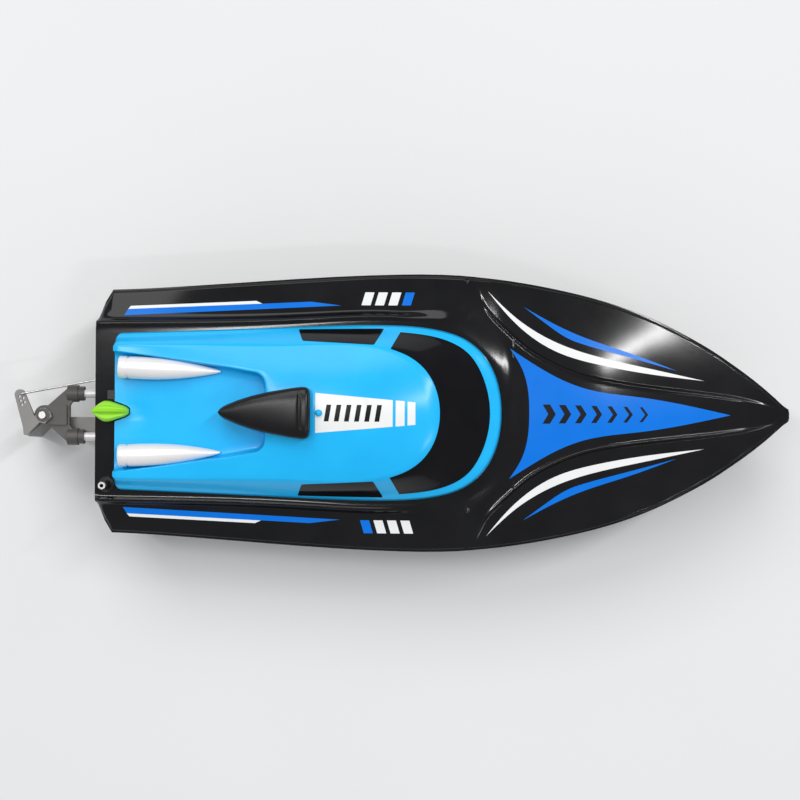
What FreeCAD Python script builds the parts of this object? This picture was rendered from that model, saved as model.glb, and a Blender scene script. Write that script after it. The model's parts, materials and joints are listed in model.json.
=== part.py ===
import FreeCAD
import Part
import Sketcher

import math
import os
import re

# RC pool-racing boat. +X is the bow, +Y is port, +Z is up, lengths in millimetres.
# The origin is the centre of the flat keel pad that the boat rests on.

DIMENSIONS = (
    ("hull_length", 320.0),
    ("hull_beam", 128.0),
    ("hull_depth", 54.0),
    ("hull_wall", 1.8),
    ("slot_width", 9.2),
    ("slot_height", 2.6),
    ("slot_y", 9.9),
    ("pickup_x", -140.0),
    ("pickup_y", -24.0),
    ("bow_fill", 6.0),
    ("corner_cut_length", 6.8),
    ("corner_cut_depth", 14.1),
    ("corner_cut_beam", 56.3),
    ("opening_inset", 3.6),
    ("opening_lip", 5.8),
    ("ledge_width", 6.0),
    ("ledge_thickness", 1.6),
    ("coaming_width", 1.5),
    ("coaming_top", 58.2),
    ("canopy_base", 57.6),
    ("canopy_wall", 1.5),
    ("recess_floor", 62.0),
    ("recess_rear_width", 55.0),
    ("recess_front_width", 34.0),
    ("recess_front_x", -80.2),
    ("recess_corner", 5.0),
    ("recess_ramp_x", -140.0),
    ("recess_rise", 6.0),
    ("glazing_depth", 0.8),
    ("hinge_x", 25.0),
    ("hinge_fit", 0.1),
    ("hinge_radius", 1.5),
    ("hinge_width", 12.0),
    ("scoop_front_x", -60.0),
    ("scoop_length", 40.6),
    ("scoop_width", 23.4),
    ("scoop_top", 88.0),
    ("button_x", -56.1),
    ("button_radius", 1.3),
    ("button_top", 81.1),
    ("button_height", 22.0),
    ("exhaust_radius", 5.1),
    ("exhaust_length", 45.8),
    ("exhaust_rear_x", -147.0),
    ("exhaust_side", 20.05),
    ("exhaust_height", 67.4),
    ("exhaust_toe", 2.2),
    ("knob_x", -154.0),
    ("knob_width", 9.5),
    ("knob_height", 4.4),
    ("knob_boss_radius", 4.4),
    ("ledge_gap", 0.4),
    ("canopy_rear", -150.0),
    ("catch_length", 3.4),
    ("catch_width", 4.0),
    ("catch_thickness", 1.4),
    ("catch_y", 5.5),
    ("outlet_x", -154.6),
    ("outlet_y", -33.6),
    ("outlet_post_radius", 2.1),
    ("outlet_post_height", 10.5),
    ("shaft_angle", 7.0),
    ("prop_x", -146.0),
    ("prop_z", 13.8),
    ("prop_radius", 13.0),
    ("prop_hub_radius", 3.6),
    ("prop_hub_length", 11.0),
    ("tunnel_radius", 14.8),
    ("tunnel_front", 2.0),
    ("shaft_radius", 1.5),
    ("shaft_fit", 0.05),
    ("tube_radius", 2.8),
    ("tube_bore", 2.1),
    ("tube_start", 11.0),
    ("tube_length", 49.0),
    ("bushing_length", 6.0),
    ("coupling_start", 64.0),
    ("coupling_length", 14.0),
    ("coupling_radius", 5.0),
    ("motor_start", 84.0),
    ("motor_length", 32.0),
    ("motor_radius", 12.2),
    ("terminal_y", 7.0),
    ("mount_screw_y", 8.0),
    ("jacket_thickness", 2.0),
    ("jacket_start", 92.0),
    ("jacket_length", 18.0),
    ("nipple_length", 6.0),
    ("mount_thickness", 2.0),
    ("servo_x", -112.8),
    ("servo_y", 12.1),
    ("servo_length", 22.5),
    ("servo_width", 12.0),
    ("servo_height", 22.7),
    ("servo_base", 13.3),
    ("servo_output_offset", 5.5),
    ("servo_post", 4.4),
    ("horn_radius", 14.0),
    ("horn_base", 38.4),
    ("horn_thickness", 1.6),
    ("link_angle", 135.0),
    ("link_z", 41.8),
    ("link_radius", 0.5),
    ("link_fit", 0.1),
    ("pivot_x", -187.8),
    ("pivot_y", -2.2),
    ("rod_spacing", 20.4),
    ("rod_z", 34.5),
    ("rod_radius", 2.0),
    ("rod_end_x", -177.2),
    ("rod_inside", 3.5),
    ("collar_length", 2.8),
    ("flange_thickness", 1.2),
    ("nut_length", 2.6),
    ("ear_length", 5.0),
    ("ear_radius", 4.0),
    ("hub_base", 33.2),
    ("hub_height", 5.0),
    ("hub_radius", 4.6),
    ("stock_radius", 2.0),
    ("stock_fit", 0.05),
    ("pivot_head_radius", 1.65),
    ("pivot_washer_radius", 3.1),
    ("pivot_washer", 0.6),
    ("tiller_base", 38.6),
    ("tiller_thickness", 2.0),
    ("tiller_tip", 14.5),
    ("tiller_offset", 1.0),
    ("tiller_end_radius", 2.45),
    ("heel_length", 13.0),
    ("hole_pitch", 1.8),
    ("hole_rake", 1.0),
    ("hole_row", 1.85),
    ("blade_top", 32.8),
    ("blade_bottom", 1.2),
    ("blade_thickness", 2.4),
    ("battery_length", 55.0),
    ("battery_width", 31.0),
    ("battery_height", 17.0),
    ("battery_x", 8.0),
    ("battery_base", 15.0),
    ("rib_thickness", 2.4),
    ("board_length", 38.0),
    ("board_width", 22.0),
    ("board_x", -80.0),
    ("board_y", -32.0),
    ("board_z", 30.0),
    ("hose_radius", 1.6),
    ("lead_radius", 0.9),
    ("seal_base", 56.0),
    ("seal_gap", 0.05),
    ("seal_nose_gap", 32.0),
    ("seal_rear_gap", 21.4),
    ("seal_inset", 0.3),
    ("seal_width", 1.6),
    ("cover_clearance", 0.2),
    ("knob_corner", 1.2),
    ("knob_foot", 57.0),
    ("knob_fin", 2.2),
    ("knob_lift", 4.8),
    ("screw_radius", 1.0),
    ("screw_below", 5.4),
    ("screw_head", 1.0),
    ("washer_thickness", 2.8),
    ("outlet_base", 56.0),
    ("brace_end", -183.0),
    ("brace_width", 8.4),
    ("brace_thickness", 1.8),
    ("brace_y", -11.6),
    ("brace_z", 27.6),
    ("stock_base", 8.0),
    ("link_drop", 4.4),
    ("prop_pitch", 34.0),
    ("motor_bed_x", -72.0),
    ("strap_width", 12.0),
    ("pickup_top", 20.0),
    ("pickup_base", 1.5),
)

# Lines of the hull and deck: share of the half length, then (half width, height) of each line,
# as shares of the half beam and of the hull depth.
#            x       pad            chine          edge           knuckle        shoulder       centre
HULL_LINES = (
    (-1.000, (0.102, -0.006), (0.780, 0.352), (0.875, 0.926), (0.694, 0.990), (0.652, 1.044), (0.0, 1.049)),
    (-0.625, (0.102, -0.006), (0.812, 0.361), (0.928, 0.944), (0.704, 0.994), (0.664, 1.045), (0.0, 1.050)),
    (-0.125, (0.102, -0.006), (0.828, 0.389), (1.000, 0.968), (0.750, 1.000), (0.706, 1.046), (0.0, 1.050)),
    (0.090, (0.102, -0.006), (0.790, 0.435), (0.986, 0.977), (0.775, 1.002), (0.690, 1.046), (0.0, 1.050)),
    (0.192, (0.100, -0.003), (0.755, 0.463), (0.950, 0.982), (0.620, 1.008), (0.520, 1.046), (0.0, 1.050)),
    (0.278, (0.096, 0.003), (0.706, 0.496), (0.910, 0.986), (0.450, 1.020), (0.355, 1.052), (0.0, 1.062)),
    (0.422, (0.088, 0.012), (0.605, 0.552), (0.840, 0.992), (0.318, 1.034), (0.240, 1.072), (0.0, 1.084)),
    (0.625, (0.064, 0.060), (0.410, 0.660), (0.660, 0.996), (0.205, 1.034), (0.140, 1.062), (0.0, 1.070)),
    (0.780, (0.042, 0.165), (0.243, 0.768), (0.452, 1.000), (0.160, 1.024), (0.100, 1.042), (0.0, 1.048)),
    (0.870, (0.026, 0.310), (0.146, 0.845), (0.300, 1.000), (0.120, 1.016), (0.070, 1.030), (0.0, 1.034)),
    (0.956, (0.013, 0.610), (0.056, 0.930), (0.125, 1.000), (0.062, 1.010), (0.036, 1.016), (0.0, 1.020)),
    (0.997, (0.006, 0.890), (0.014, 0.970), (0.026, 1.000), (0.016, 1.004), (0.008, 1.006), (0.0, 1.008)),
)

# Outlines of the canopy, from the stern to the nose: (x, y, height over the canopy base).
CANOPY_SKIRT = (
    (-150.0, 35.9, 0.0), (-99.4, 37.9, 0.0), (-66.6, 39.3, 0.0), (-26.9, 40.3, 0.0), (-2.1, 38.1, 0.0),
    (9.8, 34.0, 0.0), (18.2, 27.1, 0.0), (23.8, 17.4, 0.0), (26.7, 0.0, 0.0),
)
CANOPY_RIM = (
    (-150.0, 35.3, 3.2), (-99.0, 37.3, 3.4), (-66.4, 38.6, 3.6), (-26.9, 39.5, 3.6), (-2.4, 37.4, 3.6),
    (9.2, 33.4, 3.6), (17.5, 26.6, 3.6), (23.1, 17.0, 3.6), (26.0, 0.0, 3.6),
)
CANOPY_SILL = (
    (-150.0, 33.6, 4.6), (-98.8, 35.8, 5.0), (-66.3, 37.6, 5.4), (-26.9, 37.7, 5.6), (-10.2, 35.6, 5.6),
    (2.8, 32.3, 5.4), (11.3, 27.0, 5.2), (17.7, 16.6, 5.0), (21.0, 0.0, 4.9),
)
CANOPY_ROOF = (
    (-150.0, 30.6, 11.0), (-98.0, 30.9, 13.5), (-65.6, 30.9, 16.2), (-26.8, 29.6, 18.0),
    (-19.0, 27.1, 18.6), (-12.2, 22.8, 19.2), (-6.9, 17.0, 19.8), (-3.5, 9.3, 20.3), (-2.2, 0.0, 20.5),
)
CANOPY_CROWN = (
    (-150.0, 0.0, 11.6), (-98.0, 0.0, 17.5), (-65.6, 0.0, 21.3), (-26.8, 0.0, 23.6), (-19.0, 0.0, 23.4),
    (-12.2, 0.0, 22.8), (-7.5, 0.0, 22.0), (-4.6, 0.0, 21.2), (-2.2, 0.0, 20.5),
)

# Half outline of the lock knob from its tail to its tongue, in shares of its width.
KNOB_OUTLINE = (
    (-0.63, 0.09), (-0.36, 0.29), (-0.10, 0.46), (0.10, 0.50),
    (0.42, 0.43), (0.74, 0.32), (0.97, 0.23), (1.12, 0.11),
)
KNOB_RIDGE = ((-0.5, 0.05), (-0.1, 0.13), (0.4, 0.13), (1.0, 0.05))

# Half section of an exhaust cone, from its bore round to its tip, in shares of its radius and length.
EXHAUST_PROFILE = (
    (0.0, 0.18), (0.74, 0.155), (0.80, 0.0), (0.96, 0.0), (1.0, 0.011), (0.99, 0.073), (0.86, 0.078),
    (0.86, 0.096), (0.97, 0.1), (0.99, 0.25), (0.965, 0.36), (0.9, 0.48), (0.79, 0.6), (0.63, 0.72),
    (0.45, 0.83), (0.26, 0.93), (0.08, 1.0), (0.0, 1.0),
)

# Sections of the air scoop: share back from the mouth, share of the half width, and how far the underside and
# the top lie below the highest point.
SCOOP_SECTIONS = (
    (0.0, 0.93, 15.0, 0.5), (0.06, 1.0, 15.0, 0.0), (0.5, 0.56, 17.0, 1.6), (1.0, 0.08, 22.0, 5.5),
)
SCOOP_MOUTH = ((-0.025, 0.78, 6.5, 2.2), (0.3, 0.5, 6.0, 3.4))

# Sections of a propeller blade: share of the way from root to tip, chord and thickness.
BLADE_SECTIONS = ((0.0, 6.0, 1.6), (0.35, 9.2, 1.3), (0.75, 9.0, 1.0), (1.0, 5.0, 0.7))

# Parts on the receiver board: distance along and across it, length, width and height; then the capacitors.
BOARD_BLOCKS = ((5, 7, 9, 9, 1.6), (17, 2, 12, 10, 5), (31.5, 4, 5, 13, 6))
CAPACITORS = ((20, 17), (26.4, 17))

# Points that the cooling hoses and the two power leads pass through inside the hull.
SUPPLY_ROUTE = ((-116, -14, 30), (-84, -14, 34), (-60, -7, 48))
DRAIN_ROUTE = ((-60, -17, 46), (-100, -20, 44.6), (-136, -29, 45.6))
LEAD_ENDS = ((-24, 29.9), (-62.4, 34.6))

SIDE_WINDOW = ((-66.4, 37.8), (-27.4, 38.4), (-31.8, 30.6), (-64.0, 32.3))
WINDSCREEN_OUTER = ((-20.0, 36.8), (2.8, 32.5), (10.5, 27.8), (17.0, 18.3), (21.0, 0.0))
WINDSCREEN_INNER = ((-24.4, 28.8), (-18.3, 26.5), (-9.9, 20.7), (-4.4, 12.0), (-2.2, 0.0))

doc = FreeCAD.newDocument("rc_boat")
sheet = doc.addObject("Spreadsheet::Sheet", "dims")
parts = []


# ---------------------------------------------------------------- sheet and expressions

def fill_sheet():
    """Write the driving dimensions, one alias a row."""
    for row, (alias, value) in enumerate(DIMENSIONS, 1):
        sheet.set(f"A{row}", alias)
        sheet.set(f"B{row}", str(value))
        sheet.setAlias(f"B{row}", alias)
    doc.recompute()


def expression(text):
    """Turn a formula of sheet aliases into a FreeCAD expression."""
    return re.sub(r"\b[a-z]+(?:_[a-z]+)+\b", lambda word: "dims." + word.group(0), str(text))


def size(text):
    """Value of a formula of sheet aliases."""
    return float(sheet.evalExpression(expression(text)))


def bind(obj, **formulas):
    """Bind properties of an object to formulas of the sheet."""
    for prop, text in formulas.items():
        obj.setExpression(prop, expression(text))


def place(obj, at=(0, 0, 0), axis=None, angle=0):
    """Turn an object about an axis, then bind its position."""
    if axis:
        turn = FreeCAD.Rotation(FreeCAD.Vector(*axis), size(angle))
        obj.Placement = FreeCAD.Placement(FreeCAD.Vector(), turn)
        obj.setExpression("Placement.Rotation.Angle", expression(angle))
    for letter, text in zip("xyz", at):
        obj.setExpression("Placement.Base." + letter, expression(text))
    return obj


def finish(obj, label):
    """Name a sub-part and keep it for export."""
    obj.Label = label
    parts.append(obj)
    return obj


# ---------------------------------------------------------------- primitives and booleans

def cylinder(radius, length, at=(0, 0, 0), axis=None, angle=0):
    rod = doc.addObject("Part::Cylinder", "cylinder")
    bind(rod, Radius=radius, Height=length)
    return place(rod, at, axis, angle)


def box(length, width, height, at=(0, 0, 0)):
    block = doc.addObject("Part::Box", "box")
    bind(block, Length=length, Width=width, Height=height)
    return place(block, at)


def sphere(radius, at):
    ball = doc.addObject("Part::Sphere", "sphere")
    bind(ball, Radius=radius)
    return place(ball, at)


def join(*shapes):
    if len(shapes) == 1:
        return shapes[0]
    union = doc.addObject("Part::MultiFuse", "join")
    union.Shapes = list(shapes)
    return union


def group(*shapes):
    """Several separate solids in one node."""
    compound = doc.addObject("Part::Compound", "group")
    compound.Links = list(shapes)
    return compound


def cut(base, *tools):
    result = doc.addObject("Part::Cut", "cut")
    result.Base = base
    result.Tool = join(*tools)
    return result


def common(*shapes):
    result = doc.addObject("Part::MultiCommon", "common")
    result.Shapes = list(shapes)
    return result


def feature(name, shape):
    """A shape from Part's own functions as a document object."""
    item = doc.addObject("Part::Feature", name)
    item.Shape = shape
    return item


def chain(distance):
    """Position of a point on the shaft axis, a distance forward of the propeller."""
    return (f"prop_x + ({distance}) * cos(shaft_angle)", "0", f"prop_z + ({distance}) * sin(shaft_angle)")


def shaft_rod(radius, start, length):
    """A cylinder on the shaft axis."""
    return cylinder(radius, length, chain(start), (0, 1, 0), "90 - shaft_angle")


def tube(outer, inner, start, length):
    """A hollow cylinder on the shaft axis."""
    return cut(shaft_rod(outer, start, length), shaft_rod(inner, start, length))


# ---------------------------------------------------------------- sketches and bodies

def new_body(name):
    return doc.addObject("PartDesign::Body", name)


def sketch_on(body, role, offset="0"):
    """An empty sketch on one of the body's own origin planes."""
    sketch = body.newObject("Sketcher::SketchObject", body.Name + "_sketch")
    plane = [item for item in body.Origin.OriginFeatures if item.Role == role][0]
    sketch.AttachmentSupport = [(plane, "")]
    sketch.MapMode = "FlatFace"
    sketch.setExpression("AttachmentOffset.Base.z", expression(offset))
    return sketch


def draw_outline(sketch, corners):
    """A closed outline of straight lines whose corners follow formulas."""
    values = [(size(x), size(y)) for x, y in corners]
    first = sketch.GeometryCount
    count = len(corners)
    for index, start in enumerate(values):
        end = values[(index + 1) % count]
        line = Part.LineSegment(FreeCAD.Vector(*start, 0), FreeCAD.Vector(*end, 0))
        sketch.addGeometry(line, False)
    for index in range(count):
        following = first + (index + 1) % count
        sketch.addConstraint(Sketcher.Constraint("Coincident", first + index, 2, following, 1))
    for index, corner in enumerate(corners):
        for kind, text, value in zip(("DistanceX", "DistanceY"), corner, values[index]):
            number = sketch.addConstraint(Sketcher.Constraint(kind, first + index, 1, value))
            sketch.setExpression(f"Constraints[{number}]", expression(text))


def draw_circle(sketch, x, y, radius):
    """A circle whose centre and radius follow formulas."""
    centre = FreeCAD.Vector(size(x), size(y), 0)
    index = sketch.addGeometry(Part.Circle(centre, FreeCAD.Vector(0, 0, 1), size(radius)), False)
    settings = (("DistanceX", x), ("DistanceY", y))
    for kind, text in settings:
        number = sketch.addConstraint(Sketcher.Constraint(kind, index, 3, size(text)))
        sketch.setExpression(f"Constraints[{number}]", expression(text))
    number = sketch.addConstraint(Sketcher.Constraint("Radius", index, size(radius)))
    sketch.setExpression(f"Constraints[{number}]", expression(radius))


def pad(body, sketch, length, symmetric=False):
    item = body.newObject("PartDesign::Pad", body.Name + "_pad")
    item.Profile = sketch
    item.Midplane = symmetric
    bind(item, Length=length)
    return item


def revolve(body, sketch):
    """Turn a sketch once round its own vertical axis."""
    item = body.newObject("PartDesign::Revolution", body.Name + "_turned")
    item.Profile = sketch
    item.ReferenceAxis = (sketch, ["V_Axis"])
    item.Angle = 360
    return item


def plate_body(name, corners, thickness, holes=(), offset="0"):
    """A flat plate in the XY plane with round holes (x, y, radius)."""
    body = new_body(name)
    sketch = sketch_on(body, "XY_Plane", offset)
    draw_outline(sketch, corners)
    for hole in holes:
        draw_circle(sketch, *hole)
    pad(body, sketch, thickness)
    return body


def round_edges(body, picks, radius):
    """Fillet the edges of the body's tip that a test picks."""
    doc.recompute()
    base = body.Tip
    names = [f"Edge{number}" for number, edge in enumerate(base.Shape.Edges, 1) if picks(edge)]
    item = body.newObject("PartDesign::Fillet", body.Name + "_fillet")
    item.Base = (base, names)
    bind(item, Radius=radius)
    return item


# ---------------------------------------------------------------- curved skins

def graded(points, grades):
    """A smooth curve through points at the given parameters."""
    curve = Part.BSplineCurve()
    curve.interpolate(Points=[FreeCAD.Vector(*point) for point in points], Parameters=grades)
    return curve.toShape()


def mirrored(edge):
    return edge.mirror(FreeCAD.Vector(), FreeCAD.Vector(0, 1, 0))


def solid_of(faces):
    """Close faces into one solid."""
    shell = Part.makeShell(faces)
    shell.sewShape()
    solid = Part.makeSolid(shell)
    if solid.Volume < 0:
        solid.reverse()
    return solid


def end_face(edges, at_start):
    """The flat end across neighbouring lines."""
    points = [edge.Vertexes[0 if at_start else -1].Point for edge in edges]
    return Part.Face(Part.makePolygon(points + points[:1]))


def skin_solid(lines):
    """A closed solid between neighbouring lines, the last one joined back to the first."""
    faces = [Part.makeRuledSurface(one, two) for one, two in zip(lines, lines[1:] + lines[:1])]
    faces.append(end_face(lines, True))
    faces.append(end_face(lines, False))
    return solid_of(faces)


def hull_line(column):
    """One longitudinal line of the hull, on the port side."""
    half_length = size("hull_length / 2")
    half_beam = size("hull_beam / 2")
    depth = size("hull_depth")
    grades = [row[0] for row in HULL_LINES]
    points = [(row[0] * half_length, row[column][0] * half_beam, row[column][1] * depth) for row in HULL_LINES]
    return graded(points, grades)


def hull_skin(columns, centre=()):
    """A closed solid from port lines, an optional centre line, and the starboard lines back."""
    port = [hull_line(column) for column in columns]
    middle = [hull_line(column) for column in centre]
    return skin_solid(port + middle + [mirrored(edge) for edge in reversed(port)])


def scaled(shape, factors, shift):
    """A copy of a shape scaled along X, Y and Z about the origin, then moved."""
    matrix = FreeCAD.Matrix()
    matrix.scale(*factors)
    matrix.move(FreeCAD.Vector(*shift))
    return shape.transformGeometry(matrix)


def drawn_in(shape, wall):
    """A copy of a shape made smaller by a wall all round in plan."""
    bounds = shape.BoundBox
    along = 1 - 2 * wall / bounds.XLength
    across = 1 - 2 * wall / bounds.YLength
    return scaled(shape, (along, across, 1), (bounds.Center.x * (1 - along), 0, 0))


def prism(points, bottom, top):
    """An upright block on a plan outline of straight lines."""
    corners = [FreeCAD.Vector(x, y, bottom) for x, y in points]
    face = Part.Face(Part.makePolygon(corners + corners[:1]))
    return face.extrude(FreeCAD.Vector(0, 0, top - bottom))


def around_nose(points, level=0.0):
    """A smooth curve from the stern along the port side, around the nose and back to starboard."""
    port = [FreeCAD.Vector(x, y, z + level) for x, y, z in points]
    starboard = [FreeCAD.Vector(x, -y, z + level) for x, y, z in reversed(points[:-1])]
    curve = Part.BSplineCurve()
    curve.interpolate(port + starboard)
    return curve


def closed_wire(curve, other=None):
    """Close a curve with a straight line, or two curves with two lines."""
    edges = [curve]
    if other is None:
        edges.append(Part.makeLine(curve.lastVertex().Point, curve.firstVertex().Point))
    else:
        edges.append(other)
        edges.append(Part.makeLine(curve.firstVertex().Point, other.firstVertex().Point))
        edges.append(Part.makeLine(curve.lastVertex().Point, other.lastVertex().Point))
    return Part.Wire(Part.__sortEdges__(edges))


# ---------------------------------------------------------------- hull and deck

def cavity_shape():
    """The space inside hull and deck: the outside drawn in by the wall, with a solid bow."""
    body = hull_skin((1, 2, 3, 4, 5), (6,))
    wall = size("hull_wall")
    along = 1 - (wall + size("bow_fill")) / size("hull_length")
    across = 1 - wall / size("hull_beam / 2")
    upward = 1 - 2 * wall / body.BoundBox.ZMax
    shift = (wall - size("hull_length / 2") * (1 - along), 0, wall)
    return scaled(body, (along, across, upward), shift).cut(corner_cuts(wall))


def corner_cuts(inset=0.0):
    """The angled corners between transom and sides, as two cutting blocks."""
    length = size("corner_cut_length")
    depth = size("corner_cut_depth")
    rear = -size("hull_length / 2") + inset
    beam = size("corner_cut_beam") - inset
    outside = 2 * depth
    points = [(rear - outside, beam - depth), (rear, beam - depth), (rear + length / 2, beam - 0.4 * depth)]
    points += [(rear + length, beam), (rear + length, beam + outside), (rear - outside, beam + outside)]
    top = size("2 * hull_depth")
    port = prism(points, -1, top)
    return [port, port.mirror(FreeCAD.Vector(), FreeCAD.Vector(0, 1, 0))]


def below_pad():
    """The block under the flat keel pad."""
    return Part.makeBox(size("2 * hull_length"), size("2 * hull_beam"), size("hull_depth"),
                        FreeCAD.Vector(-size("hull_length"), -size("hull_beam"), -size("hull_depth")))


def tunnel(extra):
    """The round tunnel over the propeller, grown by an extra thickness."""
    radius = f"tunnel_radius + {extra}"
    return join(shaft_rod(radius, "-40", "40 + tunnel_front"), sphere(radius, chain("tunnel_front")))


def opening_block(inset, bottom, top):
    """The canopy's plan outline drawn in, as an upright block."""
    flat = [(x, y, bottom) for x, y, height in CANOPY_SKIRT]
    wire = closed_wire(around_nose(flat).toShape())
    return drawn_in(Part.Face(wire).extrude(FreeCAD.Vector(0, 0, top - bottom)), inset)


def transom_rods(radius, start, length):
    """Two cylinders along X where the stand-off rods run."""
    sides = ("pivot_y + rod_spacing / 2", "pivot_y - rod_spacing / 2")
    return [cylinder(radius, length, (start, side, "rod_z"), (0, 1, 0), 90) for side in sides]


def build_hull():
    """Hull shell and deck shell; returns the hollow inside for pieces that follow the floor."""
    space = cavity_shape()
    hull = hull_skin((1, 2, 3)).cut(corner_cuts()).cut(below_pad())
    hollow = cut(feature("cavity", space), tunnel("hull_wall"))
    slot = box("6", "slot_width", "slot_height", ("-hull_length / 2 - 2", "slot_y", "link_z - slot_height / 2"))
    openings = [shaft_rod("tube_radius", "8", "30"), slot]
    openings += transom_rods("rod_radius", "-hull_length / 2 - 10", "20")
    openings.append(cylinder("hose_radius", "12", ("pickup_x", "pickup_y", "0")))
    shell = cut(cut(feature("hull_block", hull), tunnel("0")), hollow, *openings)
    finish(shell, "hull_shell")

    deck = hull_skin((3, 4, 5), (6,)).cut(corner_cuts()).cut(space)
    inset = size("opening_inset")
    under = size("hull_depth - opening_lip")
    above = size("2 * hull_depth")
    opening = opening_block(inset, under, above)
    coaming = opening_block(inset - size("coaming_width"), under, size("coaming_top"))
    ledge = opening_block(inset - 0.5, under, under + size("ledge_thickness"))
    ledge = ledge.cut(opening_block(inset + size("ledge_width"), under - 1, above))
    deck = deck.cut(coaming).fuse(coaming.cut(opening)).fuse(ledge)
    groove = cylinder("hinge_radius + hinge_fit", "hinge_width + 1",
                      ("hinge_x", "hinge_width / 2 + 0.5", "canopy_base"), (1, 0, 0), 90)
    water_hole = cylinder("outlet_post_radius * 0.4", "20", ("outlet_x", "outlet_y", "outlet_base - 10"))
    screw_hole = cylinder("screw_radius", "20", ("knob_x", "0", "knob_foot - 10"))
    finish(cut(feature("deck_block", deck), groove, water_hole, screw_hole), "deck_shell")
    return hollow


# ---------------------------------------------------------------- canopy

def canopy_line(points, inset):
    """Points of a canopy outline at their real height, drawn in and lowered by an inset."""
    rear, nose = CANOPY_SKIRT[0][0], CANOPY_SKIRT[-1][0]
    widest = max(y for x, y, z in CANOPY_SKIRT)
    along = 1 - 2 * inset / (nose - rear)
    across = 1 - inset / widest
    middle = (rear + nose) / 2
    level = size("canopy_base") - inset
    return [(middle + (x - middle) * along, y * across, z + level) for x, y, z in points]


def canopy_solid(inset=0.0):
    """The canopy's outside as one closed solid, or the same form drawn in by an inset."""
    tables = (CANOPY_SKIRT, CANOPY_RIM, CANOPY_SILL, CANOPY_ROOF)
    outlines = [around_nose(canopy_line(points, inset)) for points in tables]
    lines = [curve.toShape() for curve in outlines]
    faces = [Part.Face(closed_wire(lines[0]))]
    faces += [Part.makeRuledSurface(one, two) for one, two in zip(lines, lines[1:])]
    roof = outlines[-1].copy()
    crown_points = canopy_line(CANOPY_CROWN, inset)
    roof.segment(roof.FirstParameter, roof.parameter(FreeCAD.Vector(*crown_points[-1])))
    crown = Part.BSplineCurve()
    crown.interpolate([FreeCAD.Vector(*point) for point in crown_points])
    half = Part.makeRuledSurface(roof.toShape(), crown.toShape())
    faces += [half, half.mirror(FreeCAD.Vector(), FreeCAD.Vector(0, 1, 0))]
    ends = [line.firstVertex().Point for line in lines] + [crown.StartPoint]
    ends += [line.lastVertex().Point for line in reversed(lines)]
    faces.append(Part.Face(Part.makePolygon(ends + ends[:1])))
    return solid_of(faces)


def recess_block(extra=0.0):
    """The well between the canopy's two rear pontoons, grown by an extra thickness."""
    rear = CANOPY_SKIRT[0][0] - 10
    front = size("recess_front_x") + extra
    wide = size("recess_rear_width / 2") + extra
    narrow = size("recess_front_width / 2") + extra
    floor = size("recess_floor") - extra
    block = prism([(rear, wide), (front, narrow), (front, -narrow), (rear, -wide)], floor, floor + 60)
    corners = [edge for edge in block.Edges if edge.BoundBox.ZLength > 50 and edge.CenterOfMass.x > front - 1]
    block = block.makeFillet(size("recess_corner") + extra, corners)
    slope = [FreeCAD.Vector(size("recess_ramp_x"), -wide, floor), FreeCAD.Vector(front + 1, -wide, floor),
             FreeCAD.Vector(front + 1, -wide, floor + size("recess_rise"))]
    ramp = Part.Face(Part.makePolygon(slope + slope[:1])).extrude(FreeCAD.Vector(0, 2 * wide, 0))
    return block.cut(ramp)


def knob_notch():
    """The open notch in the canopy's rear edge that the knob's tongue lies in."""
    gap = size("ledge_gap")
    width = size("knob_width")
    middle = size("knob_x")
    tongue = [spot for spot in KNOB_OUTLINE if spot[0] > -0.2]
    port = [(middle + along * width + gap, across * width + gap) for along, across in tongue]
    base = size("canopy_base")
    return prism(port + [(x, -y) for x, y in reversed(port)], base - 1, base + 20)


def glazing_block(outside, inside):
    """An upright block between two plan curves around the nose."""
    base = size("canopy_base")
    outer = around_nose([(x, y, 0) for x, y in outside], base).toShape()
    inner = around_nose([(x, y, 0) for x, y in inside], base).toShape()
    return Part.Face(closed_wire(outer, inner)).extrude(FreeCAD.Vector(0, 0, 40))


def build_canopy():
    """Canopy shell with its pontoons and well, the windscreen and the two side windows."""
    outside = canopy_solid()
    wall = size("canopy_wall")
    depth = size("glazing_depth")
    inside = canopy_solid(wall)
    skin = outside.cut(canopy_solid(depth))
    base = size("canopy_base")
    panels = {
        "windscreen": skin.common(glazing_block(WINDSCREEN_OUTER, WINDSCREEN_INNER)),
        "side_window_left": skin.common(prism(SIDE_WINDOW, base, base + 40)),
        "side_window_right": skin.common(prism([(x, -y) for x, y in SIDE_WINDOW], base, base + 40)),
    }
    shell = outside.cut(recess_block()).cut(inside.cut(recess_block(wall))).cut(list(panels.values()))
    bar = cylinder("hinge_radius", "hinge_width", ("hinge_x", "hinge_width / 2", "canopy_base"), (1, 0, 0), 90)
    notch = feature("knob_notch", knob_notch())
    finish(cut(join(feature("canopy_skin", shell), bar), notch), "canopy")
    finish(box("catch_length", "catch_width", "catch_thickness",
               ("canopy_rear - catch_length", "catch_y", "recess_floor - catch_thickness")), "lock_catch")
    for name, panel in panels.items():
        finish(feature(name + "_panel", panel), name)
    return feature("canopy_block", outside.cut(recess_block()))


# ---------------------------------------------------------------- canopy trim

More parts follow.
